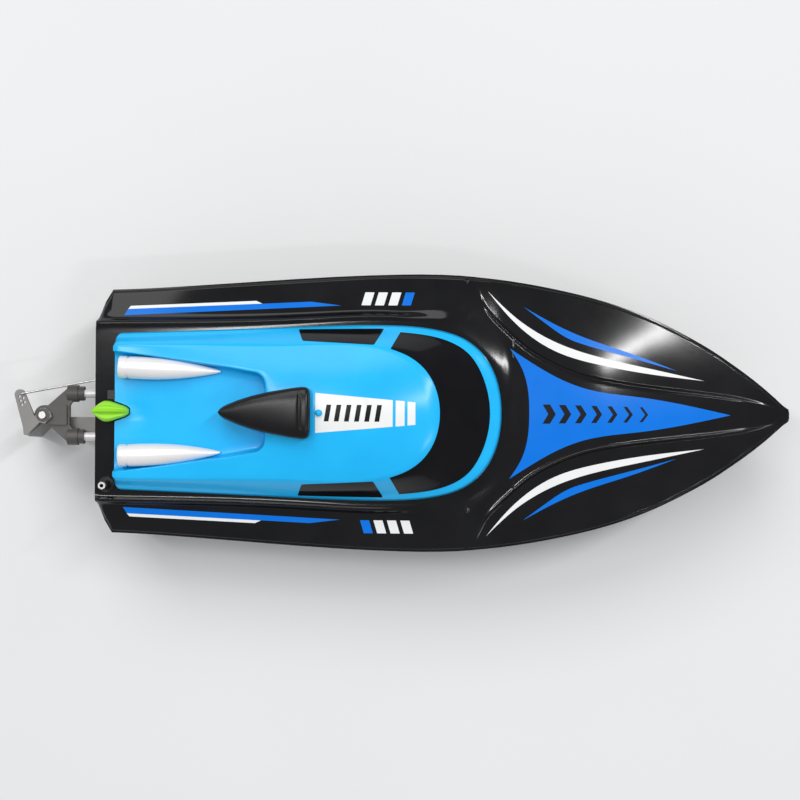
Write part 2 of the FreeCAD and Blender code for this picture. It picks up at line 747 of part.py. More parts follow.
def build_exhausts(canopy_block):
    """Two turned exhaust cones, toed in, each with a groove behind its rim and an open rear."""
    profile = [(f"exhaust_radius * {across}", f"exhaust_length * {along}") for across, along in EXHAUST_PROFILE]
    for side, word in ((1, "left"), (-1, "right")):
        body = new_body("cone_" + word)
        sketch = sketch_on(body, "XZ_Plane")
        draw_outline(sketch, profile)
        revolve(body, sketch)
        turn = FreeCAD.Rotation(FreeCAD.Vector(0, 0, 1), -side * size("exhaust_toe"))
        aim = turn.multiply(FreeCAD.Rotation(FreeCAD.Vector(0, 1, 0), 90))
        body.Placement = FreeCAD.Placement(FreeCAD.Vector(), aim)
        place(body, ("exhaust_rear_x", f"{side} * exhaust_side", "exhaust_height"))
        finish(cut(body, canopy_block), "exhaust_" + word)


def build_scoop(canopy_block):
    """Wedge-shaped air scoop on the roof, its open mouth forward, and the round button ahead of it."""
    length = size("scoop_length")
    half = size("scoop_width / 2")
    front = size("scoop_front_x")
    top = size("scoop_top")

    def loft(sections, ruled):
        rings = [rounded_ring(front - back * length, share * half, top - low, top - high)
                 for back, share, low, high in sections]
        return Part.makeLoft(rings, True, ruled)

    solid = loft(SCOOP_SECTIONS, True).cut(loft(SCOOP_MOUTH, False))
    scoop = cut(feature("scoop_block", solid), canopy_block)
    finish(scoop, "air_scoop")
    button = cylinder("button_radius", "button_height", ("button_x", "0", "button_top - button_height"))
    dome = sphere("button_radius * 1.2", ("button_x", "0", "button_top - 0.3"))
    finish(cut(join(button, dome), canopy_block), "scoop_button")


def rounded_ring(x, half, low, high):
    """A rectangle with rounded corners across the boat, as a closed wire of straight runs and arcs."""
    radius = 0.45 * min(high - low, half)
    corners = [FreeCAD.Vector(x, -half, low), FreeCAD.Vector(x, half, low)]
    corners += [FreeCAD.Vector(x, half, high), FreeCAD.Vector(x, -half, high)]
    edges = []
    for index, corner in enumerate(corners):
        before = (corners[index - 1] - corner).normalize()
        after = (corners[(index + 1) % 4] - corner).normalize()
        middle = corner + (before + after) * radius * (1 - math.sqrt(0.5))
        edges.append(Part.Arc(corner + before * radius, middle, corner + after * radius).toShape())
        following = corners[(index + 1) % 4]
        edges.append(Part.makeLine(corner + after * radius, following - after * radius))
    return Part.Wire(edges)


def build_seal():
    """Rubber strip on the deck seat under the canopy skirt."""
    low = size("seal_base")
    high = size("canopy_base - seal_gap")
    inset = size("seal_inset")
    strip = opening_block(inset, low, high).cut(opening_block(inset + size("seal_width"), low - 1, high + 1))
    nose = box("8", "seal_nose_gap", "10", ("hinge_x - 2", "-seal_nose_gap / 2", "canopy_base - 5"))
    rear = box("6", "seal_rear_gap", "10", ("knob_x", "-seal_rear_gap / 2", "canopy_base - 5"))
    finish(cut(feature("seal_strip", strip), nose, rear, last_part("deck_shell")), "canopy_seal")


def last_part(label):
    """A finished sub-part, found by its label."""
    return [part for part in parts if part.Label == label][0]


def build_inner_cover():
    """Clear inner hatch dropped into the cockpit opening, on a rubber gasket."""
    floor = size("hull_depth - 3")
    step = size("cover_clearance")
    inset = size("opening_inset")
    tray = opening_block(inset + step, floor, floor + 4).cut(opening_block(inset + 3, floor + 1.4, floor + 6))
    finish(feature("cover_tray", tray), "inner_cover")
    seat = size("hull_depth - opening_lip + ledge_thickness")
    band = opening_block(inset + 1, seat, floor).cut(opening_block(inset + 4, seat - 1, floor + 1))
    finish(feature("cover_gasket", band), "inner_cover_gasket")


def build_lock():
    """Quarter-turn canopy lock: ridged knob on a boss, held by a screw and washer under the deck."""
    base = "canopy_base + knob_lift"
    body = new_body("knob_moulding")
    tongue = sketch_on(body, "XY_Plane", base)
    port = [(f"{along} * knob_width", f"{across} * knob_width") for along, across in KNOB_OUTLINE]
    starboard = [(x, "-" + y) for x, y in reversed(port)]
    draw_outline(tongue, port + starboard)
    pad(body, tongue, "knob_height")
    round_edges(body, lambda edge: edge.BoundBox.ZLength > 1, "knob_corner")
    boss = sketch_on(body, "XY_Plane", "knob_foot")
    draw_circle(boss, "0", "0", "knob_boss_radius")
    pad(body, boss, base + " - knob_foot + 0.5")
    ridge = sketch_on(body, "XY_Plane", base + " + knob_height - 0.5")
    port = [(f"{along} * knob_width", f"{across} * knob_width") for along, across in KNOB_RIDGE]
    starboard = [(x, "-" + y) for x, y in reversed(port)]
    draw_outline(ridge, port + starboard)
    pad(body, ridge, "knob_fin + 0.5")
    place(body, ("knob_x", "0", "0"))
    foot = "knob_foot - screw_below"
    shank = cylinder("screw_radius", f"{base} + knob_height * 0.7 - ({foot})", ("knob_x", "0", foot))
    head = cylinder("2 * screw_radius", "screw_head", ("knob_x", "0", foot + " - screw_head"))
    screw = join(shank, head)
    finish(cut(body, screw), "lock_knob")
    finish(screw, "lock_screw")
    washer = cylinder("2.2 * screw_radius", "washer_thickness", ("knob_x", "0", foot))
    finish(cut(washer, shank, last_part("deck_shell")), "lock_washer")


def build_outlet():
    """Cooling-water outlet on the stern deck: a black post under a bright nozzle ring."""
    spot = ("outlet_x", "outlet_y")
    post = cylinder("outlet_post_radius", "outlet_post_height", (*spot, "outlet_base"))
    foot = cylinder("outlet_post_radius * 1.7", "1.6", (*spot, "outlet_base"))
    bore = cylinder("outlet_post_radius * 0.4", "outlet_post_height + 4", (*spot, "outlet_base - 2"))
    finish(cut(join(post, foot), bore, last_part("deck_shell")), "outlet_post")
    ring = cylinder("outlet_post_radius * 0.8", "1.8", (*spot, "outlet_base + outlet_post_height"))
    inner = cylinder("outlet_post_radius * 0.4", "4", (*spot, "outlet_base + outlet_post_height - 1"))
    finish(cut(ring, inner), "outlet_nozzle")


# ---------------------------------------------------------------- rudder gear

def build_bracket():
    """Rudder bracket: two ears on the stand-off rods, diagonal webs and a hub around the stock."""
    half = "rod_spacing / 2"
    front = "rod_end_x - pivot_x + ear_length"
    rear = "rod_end_x - pivot_x"
    ears = []
    for side in ("1", "-1"):
        y = f"pivot_y + {side} * {half}"
        ears.append(cylinder("ear_radius", "ear_length", ("rod_end_x", y, "rod_z"), (0, 1, 0), 90))
    web = plate_body("bracket_web", (
        (front, half), (rear, f"{half} + ear_radius * 0.6"),
        ("1", "hub_radius * 0.9"), ("1", "-hub_radius * 0.9"),
        (rear, f"-{half} - ear_radius * 0.6"), (front, "-" + half),
        (rear + " + 1", "-hub_radius"), (rear + " + 1", "hub_radius"),
    ), "hub_height * 0.7")
    place(web, ("pivot_x", "pivot_y", "hub_base"))
    hub = cylinder("hub_radius", "hub_height", ("pivot_x", "pivot_y", "hub_base"))
    block = box(rear + " - 1", "2 * hub_radius", "hub_height",
                ("pivot_x + 1", "pivot_y - hub_radius", "hub_base"))
    bore = cylinder("stock_radius + stock_fit", "20", ("pivot_x", "pivot_y", "hub_base - 5"))
    rods = transom_rods("rod_radius", "rod_end_x - 1", "20")
    finish(cut(join(web, hub, block, *ears), bore, *rods), "rudder_bracket")


def build_standoffs():
    """Two stand-off rods from the transom with collars outside and nuts inside."""
    wall_x = "-hull_length / 2"
    rods = transom_rods("rod_radius", "rod_end_x", "hull_wall + rod_inside - hull_length / 2 - rod_end_x")
    finish(group(*rods), "standoff_rods")
    collars = []
    nuts = []
    for side in ("1", "-1"):
        y = f"pivot_y + {side} * rod_spacing / 2"
        bore = cylinder("rod_radius", "40", ("rod_end_x - 2", y, "rod_z"), (0, 1, 0), 90)

        def ring(radius, length, x):
            return cut(cylinder(radius, length, (x, y, "rod_z"), (0, 1, 0), 90), bore)

        collars.append(ring("ear_radius * 0.85", "collar_length", "rod_end_x + ear_length"))
        collars.append(ring("ear_radius", "flange_thickness", wall_x + " - flange_thickness"))
        nuts.append(ring("ear_radius * 0.85", "nut_length", wall_x + " + hull_wall"))
    finish(group(*collars), "rod_collars")
    finish(group(*nuts), "rod_nuts")


def build_brace():
    """Lower plate between transom and bracket, starboard of the middle."""
    deck = box("-hull_length / 2 - brace_end", "brace_width", "brace_thickness",
               ("brace_end", "brace_y", "brace_z"))
    foot = box("1.8", "brace_width", "5", ("-hull_length / 2 - 1.8", "brace_y", "brace_z - 1.2"))
    post = box("4", "4", "hub_base - brace_z", ("brace_end", "brace_y + brace_width - 6", "brace_z"))
    finish(cut(join(deck, foot, post), last_part("standoff_rods"), last_part("rod_collars"),
               last_part("rudder_bracket")), "rudder_brace")


def build_tiller():
    """Tiller plate at the stock: a heel along the blade's top and a drilled arm with a round end."""
    plate = plate_body("tiller_plate", (
        ("-3.4", "-2.4"), ("-1.4", "-3.4"), ("1.6", "-3.2"), ("3.2", "-1.4"), ("2.3", "3.3"),
        ("tiller_tip - 0.38 * tiller_end_radius", "tiller_offset - 0.92 * tiller_end_radius"),
        ("tiller_tip + 0.49 * tiller_end_radius", "tiller_offset + 0.87 * tiller_end_radius"),
        ("2.4", "heel_length - 2.2"), ("-0.3", "heel_length"), ("-1.3", "heel_length - 0.8"),
        ("-1.3", "3.6"), ("-3.4", "2.4"),
    ), "tiller_thickness")
    end = cylinder("tiller_end_radius", "tiller_thickness", ("tiller_tip", "tiller_offset", "0"))
    holes = [cylinder("stock_radius", "10", ("0", "0", "-4"))]
    for row in range(3):
        for column in range(2):
            along = f"horn_radius - {row} * hole_pitch"
            across = f"{row} * hole_rake + {column} * hole_row"
            holes.append(cylinder("link_radius + link_fit", "10", (along, across, "-4")))
    return cut(join(plate, end), *holes)


def build_rudder():
    """Rudder stock, raked blade and the drilled tiller arm, all turning about the stock."""
    blade = new_body("blade_moulding")
    face = sketch_on(blade, "XZ_Plane")
    draw_outline(face, (
        ("-2.6", "blade_top"), ("-2.6", "blade_top - 9"), ("4.7", "blade_bottom"),
        ("14.9", "blade_bottom"), ("13.3", "blade_top"),
    ))
    pad(blade, face, "blade_thickness", True)
    place(blade, ("pivot_x", "pivot_y", "0"), (0, 0, 1), "link_angle + 90")
    stock = cylinder("stock_radius", "tiller_base + tiller_thickness - stock_base",
                     ("pivot_x", "pivot_y", "stock_base"))
    sleeve = cylinder("stock_radius + 1", "blade_top - stock_base", ("pivot_x", "pivot_y", "stock_base"))
    bore = cylinder("stock_radius", "40", ("pivot_x", "pivot_y", "stock_base"))
    finish(cut(join(blade, sleeve), bore), "rudder_blade")

    arm = build_tiller()
    place(arm, ("pivot_x", "pivot_y", "tiller_base"), (0, 0, 1), "link_angle")
    finish(arm, "tiller_arm")
    finish(stock, "rudder_stock")
    top = "tiller_base + tiller_thickness"
    finish(cylinder("pivot_head_radius", "1.4", ("pivot_x", "pivot_y", top + " + pivot_washer")), "pivot_screw")
    finish(cylinder("pivot_washer_radius", "pivot_washer", ("pivot_x", "pivot_y", top)), "pivot_washer")


def link_end(radius, x, y):
    """The bent-down end of the pushrod wire."""
    return cylinder(radius, "link_drop", (x, y, "link_z - link_drop"))


def build_pushrod():
    """Pushrod wire with a bent end in the tiller's outer hole and one in the servo horn."""
    reach = "horn_radius * cos(link_angle)"
    rise = "horn_radius * sin(link_angle)"
    rear = FreeCAD.Vector(size("pivot_x + " + reach), size("pivot_y + " + rise), size("link_z"))
    front = FreeCAD.Vector(size("servo_x + " + reach), size("servo_y + " + rise), size("link_z"))
    run = front - rear
    turn = math.degrees(math.atan2(run.y, run.x))
    wire = doc.addObject("Part::Cylinder", "wire")
    bind(wire, Radius="link_radius")
    wire.Height = run.Length
    level = FreeCAD.Rotation(FreeCAD.Vector(0, 1, 0), 90)
    aim = FreeCAD.Rotation(FreeCAD.Vector(0, 0, 1), turn).multiply(level)
    wire.Placement = FreeCAD.Placement(rear, aim)
    ends = [link_end("link_radius", end.x, end.y) for end in (rear, front)]
    balls = [sphere("link_radius", (end.x, end.y, "link_z")) for end in (rear, front)]
    finish(join(wire, *ends, *balls), "pushrod")


def build_seal_slit():
    """White silicone seal on the transom: a flange and a lip with a slit that the pushrod slides in."""
    wall_x = "-hull_length / 2"
    flange = box("1.4", "slot_width + 2.4", "slot_height + 2.4",
                 (wall_x + " - 1.4", "slot_y - 1.2", "link_z - slot_height / 2 - 1.2"))
    plug = box("hull_wall + 1.4", "slot_width", "slot_height",
               (wall_x + " - 1.4", "slot_y", "link_z - slot_height / 2"))
    slit = box("8", "slot_width - 1", "2 * link_radius + 0.5",
               (wall_x + " - 4", "slot_y + 0.5", "link_z - link_radius - 0.25"))
    finish(cut(join(flange, plug), slit), "pushrod_seal")


# ---------------------------------------------------------------- steering servo

def build_servo(hollow):
    """Servo case with its ears, posts that follow the hull floor, screws and the horn."""
    rear = "servo_x - servo_output_offset"
    side = "servo_y - servo_width / 2"
    ear = "servo_base + 14"
    case = box("servo_length", "servo_width", "servo_height", (rear, side, "servo_base"))
    ears = box("servo_length + 9.6", "servo_width", "1.6", (rear + " - 4.8", side, ear))
    boss = cylinder("servo_output_offset", "horn_base - servo_base - servo_height - 0.8",
                    ("servo_x", "servo_y", "servo_base + servo_height"))
    screws = []
    bores = []
    posts = []
    for spot in (rear + " - 2.5", rear + " + servo_length + 2.5"):
        screws.append(join(cylinder("0.9", "7", (spot, "servo_y", ear + " - 5")),
                           cylinder("1.8", "1.2", (spot, "servo_y", ear + " + 1.6"))))
        bores.append(cylinder("0.9", "20", (spot, "servo_y", ear + " - 5")))
        posts.append(box("servo_post", "servo_width - 2", ear,
                         (spot + " - servo_post / 2", "servo_y - servo_width / 2 + 1", "0")))
    finish(cut(join(case, ears, boss), *bores), "servo_case")
    finish(cut(common(join(*posts), hollow), *screws), "servo_mount")
    finish(group(*screws), "servo_screws")

    outline = (
        ("-3.2", "-2.2"), ("-1.2", "-3.2"), ("2.2", "-3.2"), ("horn_radius + 1.4", "-1.5"),
        ("horn_radius + 2", "-0.6"), ("horn_radius + 2", "0.6"), ("horn_radius + 1.4", "1.5"),
        ("2.2", "3.2"), ("-1.2", "3.2"), ("-3.2", "2.2"),
    )
    holes = [(f"horn_radius - {step}", "0", "link_radius + link_fit") for step in ("0", "2.6", "5.2")]
    horn = plate_body("servo_horn_arm", outline, "horn_thickness", holes)
    place(horn, ("servo_x", "servo_y", "horn_base"), (0, 0, 1), "link_angle")
    spline_hub = cylinder("2.4", "0.7", ("servo_x", "servo_y", "horn_base - 0.7"))
    bore = cylinder("0.8", "6", ("servo_x", "servo_y", "horn_base - 2"))
    finish(cut(join(horn, spline_hub), bore), "servo_horn")
    head = cylinder("1.7", "0.8", ("servo_x", "servo_y", "horn_base + horn_thickness"))
    shank = cylinder("0.8", "2.3", ("servo_x", "servo_y", "horn_base + horn_thickness - 2.3"))
    finish(join(head, shank), "horn_screw")


# ---------------------------------------------------------------- drive line

def build_propeller():
    """Three twisted blades on a hub, with the dog ahead and the nut behind."""
    hub = tube("prop_hub_radius", "shaft_radius", "-prop_hub_length / 2", "prop_hub_length")
    pitch = size("prop_pitch")
    radius = size("prop_radius")
    root = size("prop_hub_radius") - 0.8
    rings = []
    for share, chord, thickness in BLADE_SECTIONS:
        reach = root + share * (radius - 0.4 - root)
        angle = math.degrees(math.atan2(pitch, 2 * math.pi * reach))
        ring = blade_ring(chord, thickness)
        ring.rotate(FreeCAD.Vector(), FreeCAD.Vector(1, 0, 0), angle)
        ring.translate(FreeCAD.Vector(0, 0, reach))
        rings.append(ring)
    blade = Part.makeLoft(rings, True)
    hub_length = size("prop_hub_length")
    rear = FreeCAD.Vector(-hub_length / 2, 0, 0)
    limit = Part.makeCylinder(radius, hub_length, rear, FreeCAD.Vector(1, 0, 0))
    blade = blade.common(limit)
    blades = []
    for number in range(3):
        copy = feature("blade", blade)
        spin = FreeCAD.Rotation(FreeCAD.Vector(1, 0, 0), 120 * number)
        tilt = FreeCAD.Rotation(FreeCAD.Vector(0, 1, 0), -size("shaft_angle"))
        copy.Placement = FreeCAD.Placement(FreeCAD.Vector(), tilt.multiply(spin))
        blades.append(place(copy, chain("0")))
    bore = shaft_rod("shaft_radius", "-20", "40")
    finish(cut(join(hub, *blades), bore), "propeller")
    finish(cut(shaft_rod("prop_hub_radius * 0.97", "prop_hub_length / 2", "4"),
               shaft_rod("shaft_radius", "0", "20")), "drive_dog")
    nut = shaft_rod("prop_hub_radius * 0.8", "-prop_hub_length / 2 - 3.6", "3.6")
    finish(cut(nut, shaft_rod("shaft_radius", "-20", "40")), "prop_nut")


def blade_ring(chord, thickness):
    """A blade section in the XY plane: a lens shape with the chord along Y."""
    half = chord / 2
    edge = thickness * 0.15
    front = Part.Arc(FreeCAD.Vector(edge, -half, 0), FreeCAD.Vector(thickness / 2, 0, 0),
                     FreeCAD.Vector(edge, half, 0))
    rear = Part.Arc(FreeCAD.Vector(-edge, half, 0), FreeCAD.Vector(-thickness / 2, 0, 0),
                    FreeCAD.Vector(-edge, -half, 0))
    sides = [Part.makeLine(FreeCAD.Vector(edge, half, 0), FreeCAD.Vector(-edge, half, 0)),
             Part.makeLine(FreeCAD.Vector(-edge, -half, 0), FreeCAD.Vector(edge, -half, 0))]
    return Part.Wire([front.toShape(), sides[0], rear.toShape(), sides[1]])


def build_drive(hollow):
    """Stuffing tube with bushings, drive shaft, coupling, motor, jacket and mount."""
    finish(tube("tube_radius", "tube_bore", "tube_start", "tube_length"), "stuffing_tube")
    ends = ("tube_start", "tube_start + tube_length - bushing_length")
    bushings = [tube("tube_bore", "shaft_radius + shaft_fit", start, "bushing_length") for start in ends]
    finish(group(*bushings), "shaft_bushings")
    finish(shaft_rod("shaft_radius", "-prop_hub_length / 2 - 4.5",
                     "coupling_start + coupling_length / 2 + prop_hub_length / 2 + 4"), "drive_shaft")
    finish(shaft_rod("shaft_radius", "coupling_start + coupling_length / 2 + 0.5",
                     "motor_start + 4 - coupling_start - coupling_length / 2"), "motor_shaft")
    sleeve = tube("coupling_radius", "shaft_radius", "coupling_start", "coupling_length")
    pins = []
    for along in ("coupling_start + 3.5", "coupling_start + coupling_length - 3.5"):
        x, y, z = chain(along)
        pins.append(cylinder("1.2", "coupling_radius - shaft_radius", (x, "shaft_radius", z), (1, 0, 0), -90))
    finish(cut(sleeve, *pins), "coupling")
    finish(group(*pins), "coupling_set_screws")
    socket = shaft_rod("shaft_radius + shaft_fit", "motor_start - 3", "9")
    nose = shaft_rod("4", "motor_start - 2.6", "2.6")
    can = shaft_rod("motor_radius", "motor_start", "motor_length")
    finish(cut(join(can, nose), socket), "motor_can")
    x, y, z = chain("motor_start + motor_length + 3.6")
    tabs = [cylinder("1", "5", (x, side, z), (0, 1, 0), "90 - shaft_angle")
            for side in ("-terminal_y", "terminal_y")]
    finish(join(shaft_rod("motor_radius * 0.92", "motor_start + motor_length", "4"),
                shaft_rod("3", "motor_start + motor_length", "6"), *tabs), "motor_endbell")
    jacket = tube("motor_radius + jacket_thickness", "motor_radius", "jacket_start", "jacket_length")
    nipples = [cylinder("hose_radius - 0.5", "nipple_length", nipple_base(along))
               for along in ("3.5", "jacket_length - 3.5")]
    core = shaft_rod("motor_radius", "jacket_start - 1", "jacket_length + 2")
    finish(cut(join(jacket, *nipples), core), "cooling_jacket")

    height = "2 * motor_radius + 3"
    upright = doc.addObject("Part::Box", "mount_plate")
    bind(upright, Length=height, Width="2 * motor_radius + 6", Height="mount_thickness")
    x, y, z = chain("motor_start - mount_thickness")
    place(upright, (x + " - (motor_radius + 1.5) * sin(shaft_angle)", "-motor_radius - 3",
                    z + " + (motor_radius + 1.5) * cos(shaft_angle)"), (0, 1, 0), "90 - shaft_angle")
    bed = box("16", "2 * motor_radius + 6", "14", ("motor_bed_x", "-motor_radius - 3", "0"))
    clear = shaft_rod("motor_radius + jacket_thickness + 0.2", "motor_start", "60")
    behind = shaft_rod("coupling_radius + 2", "40", "motor_start - 42")
    x, y, z = chain("motor_start - mount_thickness - 2")
    pins = []
    for side in ("-mount_screw_y", "mount_screw_y"):
        shank = cylinder("1.5", "7", (x, side, z), (0, 1, 0), "90 - shaft_angle")
        head = cylinder("2.6", "2", (x, side, z), (0, 1, 0), "90 - shaft_angle")
        pins.append(join(shank, head))
    nose_hole = shaft_rod("4", "motor_start - 6", "10")
    plate = cut(join(upright, cut(bed, clear, behind)), nose_hole, *pins)
    finish(cut(common(plate, hollow), last_part("motor_can")), "motor_mount")
    finish(cut(group(*pins), last_part("motor_can")), "motor_mount_screws")


def nipple_base(along):
    """Foot of a hose nipple on top of the cooling jacket, a distance along the jacket."""
    x, y, z = chain(f"jacket_start + {along}")
    return (x, y, z + " + motor_radius")


# ---------------------------------------------------------------- electrics, battery and cooling

def build_battery(hollow):
    """Battery pack on a ribbed tray that follows the hull floor, held by a strap."""
    x = "battery_x - battery_length / 2"
    y = "-battery_width / 2"
    pack = box("battery_length", "battery_width", "battery_height", (x, y, "battery_base"))
    finish(pack, "battery_pack")
    plate = box("battery_length + 6", "battery_width + 4", "2", (x + " - 3", y + " - 2", "battery_base - 2"))
    ribs = [box("rib_thickness", "battery_width + 4", "battery_base - 2",
                (f"{x} + battery_length * {share}", y + " - 2", "0"))
            for share in (0.1, 0.5, 0.88)]
    strap = box("strap_width", "battery_width + 2.4", "battery_height + 3.2",
                ("battery_x - strap_width / 2", y + " - 1.2", "battery_base - 2"))
    inner = box("strap_width + 2", "battery_width", "battery_height",
                ("battery_x - strap_width / 2 - 1", y, "battery_base"))
    finish(cut(join(common(join(*ribs), hollow), plate), strap), "battery_tray")
    finish(cut(strap, inner), "battery_strap")


def build_board(hollow):
    """Receiver and speed-control board on two posts, with its chips, capacitors and sockets."""
    x = "board_x - board_length / 2"
    y = "board_y - board_width / 2"
    board = box("board_length", "board_width", "1.6", (x, y, "board_z"))
    top = "board_z + 1.6"
    chips = [box(str(length), str(width), str(height), (f"{x} + {along}", f"{y} + {across}", top))
             for along, across, length, width, height in BOARD_BLOCKS]
    chips += [cylinder("2.6", "8", (f"{x} + {along}", f"{y} + {across}", top)) for along, across in CAPACITORS]
    finish(group(*chips), "board_parts")
    spots = [(x + " + 2.5", y + " + 2.5"), (x + " + board_length - 2.5", y + " + board_width - 2.5")]
    screws = [join(cylinder("1", "8", (*spot, "board_z - 6")), cylinder("1.9", "1.2", (*spot, "board_z + 1.6")))
              for spot in spots]
    bores = [cylinder("1", "8", (*spot, "board_z - 2")) for spot in spots]
    posts = [cylinder("3", "board_z", (*spot, "0")) for spot in spots]
    finish(cut(board, *bores), "receiver_board")
    finish(cut(common(join(*posts), hollow), *screws), "board_posts")
    finish(group(*screws), "board_screws")


def hose(points, radius):
    """A round tube along straight runs joined by tangent arcs as large as the runs allow."""
    spots = [FreeCAD.Vector(*point) for point in points]
    edges = []
    start = spots[0]
    for before, corner, after in zip(spots, spots[1:], spots[2:]):
        back = before - corner
        ahead = after - corner
        turn = math.pi - back.getAngle(ahead)
        reach = 0.45 * min(back.Length, ahead.Length)
        back.normalize()
        ahead.normalize()
        first = corner + back * reach
        last = corner + ahead * reach
        bisector = (back + ahead).normalize()
        bend = reach / math.tan(turn / 2)
        middle = corner + bisector * (math.hypot(bend, reach) - bend)
        edges.append(Part.makeLine(start, first))
        edges.append(Part.Arc(first, middle, last).toShape())
        start = last
    edges.append(Part.makeLine(start, spots[-1]))
    path = Part.Wire(edges)
    ring = Part.Wire(Part.makeCircle(radius, spots[0], spots[1] - spots[0]))
    return path.makePipeShell([ring], True, False)


def build_lines():
    """Cooling hoses and power leads inside the hull, and the water pickup under it."""
    radius = size("hose_radius")
    pickup = (size("pickup_x"), size("pickup_y"), size("pickup_top"))
    rear_nipple = [size(text) for text in nipple_base("3.5")]
    front_nipple = [size(text) for text in nipple_base("jacket_length - 3.5")]
    outlet = (size("outlet_x"), size("outlet_y"), size("outlet_base - 1.6"))
    above = size("nipple_length")
    supply = hose((pickup, (pickup[0], pickup[1], 29), *SUPPLY_ROUTE,
                   (rear_nipple[0], 0, rear_nipple[2] + above + 5.4),
                   (rear_nipple[0], 0, rear_nipple[2] + above)), radius)
    drain = hose(((front_nipple[0], 0, front_nipple[2] + above),
                  (front_nipple[0], 0, front_nipple[2] + above + 4.4), *DRAIN_ROUTE,
                  (outlet[0], outlet[1], 46), outlet), radius)
    finish(group(feature("supply_hose", supply), feature("drain_hose", drain)), "cooling_hoses")
    scoop = doc.addObject("Part::Cylinder", "pickup_pipe")
    bind(scoop, Radius="hose_radius", Height="pickup_top - pickup_base")
    place(scoop, ("pickup_x", "pickup_y", "pickup_base"))
    bore = cylinder("hose_radius * 0.5", "40", ("pickup_x", "pickup_y", "pickup_base - 1"))
    finish(cut(scoop, bore), "water_pickup")
    thin = size("lead_radius")
    leads = []
    for side in (-1, 1):
        (pack_x, pack_z), (board_x, board_z) = LEAD_ENDS
        route = ((pack_x, 7 * side, pack_z), (pack_x, 7 * side, 38 + side), (-36, -12, 41 + 2 * side),
                 (-50, -30 + 3 * side, board_z), (board_x, -30 + 3 * side, board_z))
        leads.append(feature("lead", hose(route, thin)))
    finish(group(*leads), "motor_leads")


def check_and_write():
    """Stop on any failed object or shape, then write one STEP file for each sub-part."""
    doc.recompute()
    failed = [item.Name for item in doc.Objects if "Invalid" in item.State or "Error" in item.State]
    failed += [part.Label for part in parts if part.Shape.isNull() or not part.Shape.isValid()]
    if failed:
        raise RuntimeError("failed: " + ", ".join(failed))
    os.makedirs("parts", exist_ok=True)
    for part in parts:
        part.Shape.exportStep("parts/" + part.Label + ".step")


fill_sheet()
hull_inside = build_hull()
canopy_block = build_canopy()
build_exhausts(canopy_block)
build_scoop(canopy_block)
build_seal()
build_inner_cover()
build_lock()
build_outlet()
build_bracket()
build_standoffs()
build_brace()
build_rudder()
build_pushrod()
build_seal_slit()
build_servo(hull_inside)
build_propeller()
build_drive(hull_inside)
build_battery(hull_inside)
build_board(hull_inside)
build_lines()
check_and_write()
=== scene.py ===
import math

import bmesh
import bpy
import numpy as np
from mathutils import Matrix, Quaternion, Vector
from mathutils.bvhtree import BVHTree
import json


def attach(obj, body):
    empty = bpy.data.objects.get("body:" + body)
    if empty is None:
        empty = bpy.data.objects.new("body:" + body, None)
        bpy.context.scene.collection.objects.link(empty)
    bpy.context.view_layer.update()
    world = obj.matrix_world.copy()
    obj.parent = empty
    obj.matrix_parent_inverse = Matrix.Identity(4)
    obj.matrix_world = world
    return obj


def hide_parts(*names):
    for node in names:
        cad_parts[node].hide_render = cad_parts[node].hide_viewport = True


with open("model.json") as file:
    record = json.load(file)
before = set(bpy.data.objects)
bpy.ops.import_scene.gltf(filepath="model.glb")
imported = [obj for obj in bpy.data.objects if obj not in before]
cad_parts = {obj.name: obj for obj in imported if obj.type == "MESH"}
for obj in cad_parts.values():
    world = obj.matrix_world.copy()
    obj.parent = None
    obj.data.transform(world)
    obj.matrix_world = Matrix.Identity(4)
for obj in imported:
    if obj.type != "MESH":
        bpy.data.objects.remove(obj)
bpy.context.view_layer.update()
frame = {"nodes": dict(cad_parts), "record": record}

# Radio-controlled racing boat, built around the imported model. Tables are in millimetres,
# +X to the bow, +Y to port, +Z up; objects are made in metres.

MM = 0.001
BASE = 57.6          # height of the canopy's lower edge
SEAT = 56.65         # height of the deck under the canopy
DECAL_LIFT = 0.07

# Deck outline from the stern to the bow: (x, half width).
OUTLINE_CORNER = ((-160.0, 42.2), (-156.6, 50.66), (-153.2, 56.3))
OUTLINE = (
    (-153.2, 56.3), (-144.7, 56.6), (-103.0, 59.2), (-61.6, 61.9), (-20.0, 63.9), (14.5, 63.0), (35.3, 60.5),
    (56.0, 56.6), (77.0, 51.2), (97.6, 43.5), (111.5, 36.7), (125.3, 28.8), (139.0, 19.2), (152.0, 8.8),
    (156.0, 4.95), (158.3, 2.5),
)
BOW_TIP = 159.5
BOW_RADIUS = 3.2
EDGE_HEIGHT = ((-160.0, 50.0), (-100.0, 51.0), (-20.0, 52.3), (14.5, 52.8), (45.0, 53.3), (100.0, 53.7),
               (160.0, 53.9))
CENTRE_HEIGHT = ((-160.0, 56.65), (20.0, 56.65), (33.0, 57.0), (45.0, 57.5), (67.6, 58.3), (100.0, 57.6),
                 (125.0, 56.4), (139.0, 55.7), (153.0, 54.9), (160.0, 54.3))
# Crest of the raised ring round the canopy, and the crease that bounds each bow panel.
RING = (
    (-165.0, 41.2), (-160.0, 41.3), (-100.0, 42.3), (-60.0, 44.0), (-28.0, 45.2), (-6.2, 43.8), (9.7, 40.1),
    (17.0, 35.2), (24.0, 28.2), (29.0, 19.0), (31.8, 9.0), (32.4, 0.0),
)
CREASE = (
    (9.0, 67.0), (12.0, 62.5), (15.4, 58.0), (18.0, 51.9), (25.6, 42.2), (31.2, 36.9), (39.9, 29.6),
    (49.6, 24.0), (62.1, 18.8), (79.1, 15.0), (96.2, 12.6), (117.9, 10.2), (141.8, 6.6), (153.0, 3.4),
    (160.0, 0.8),
)

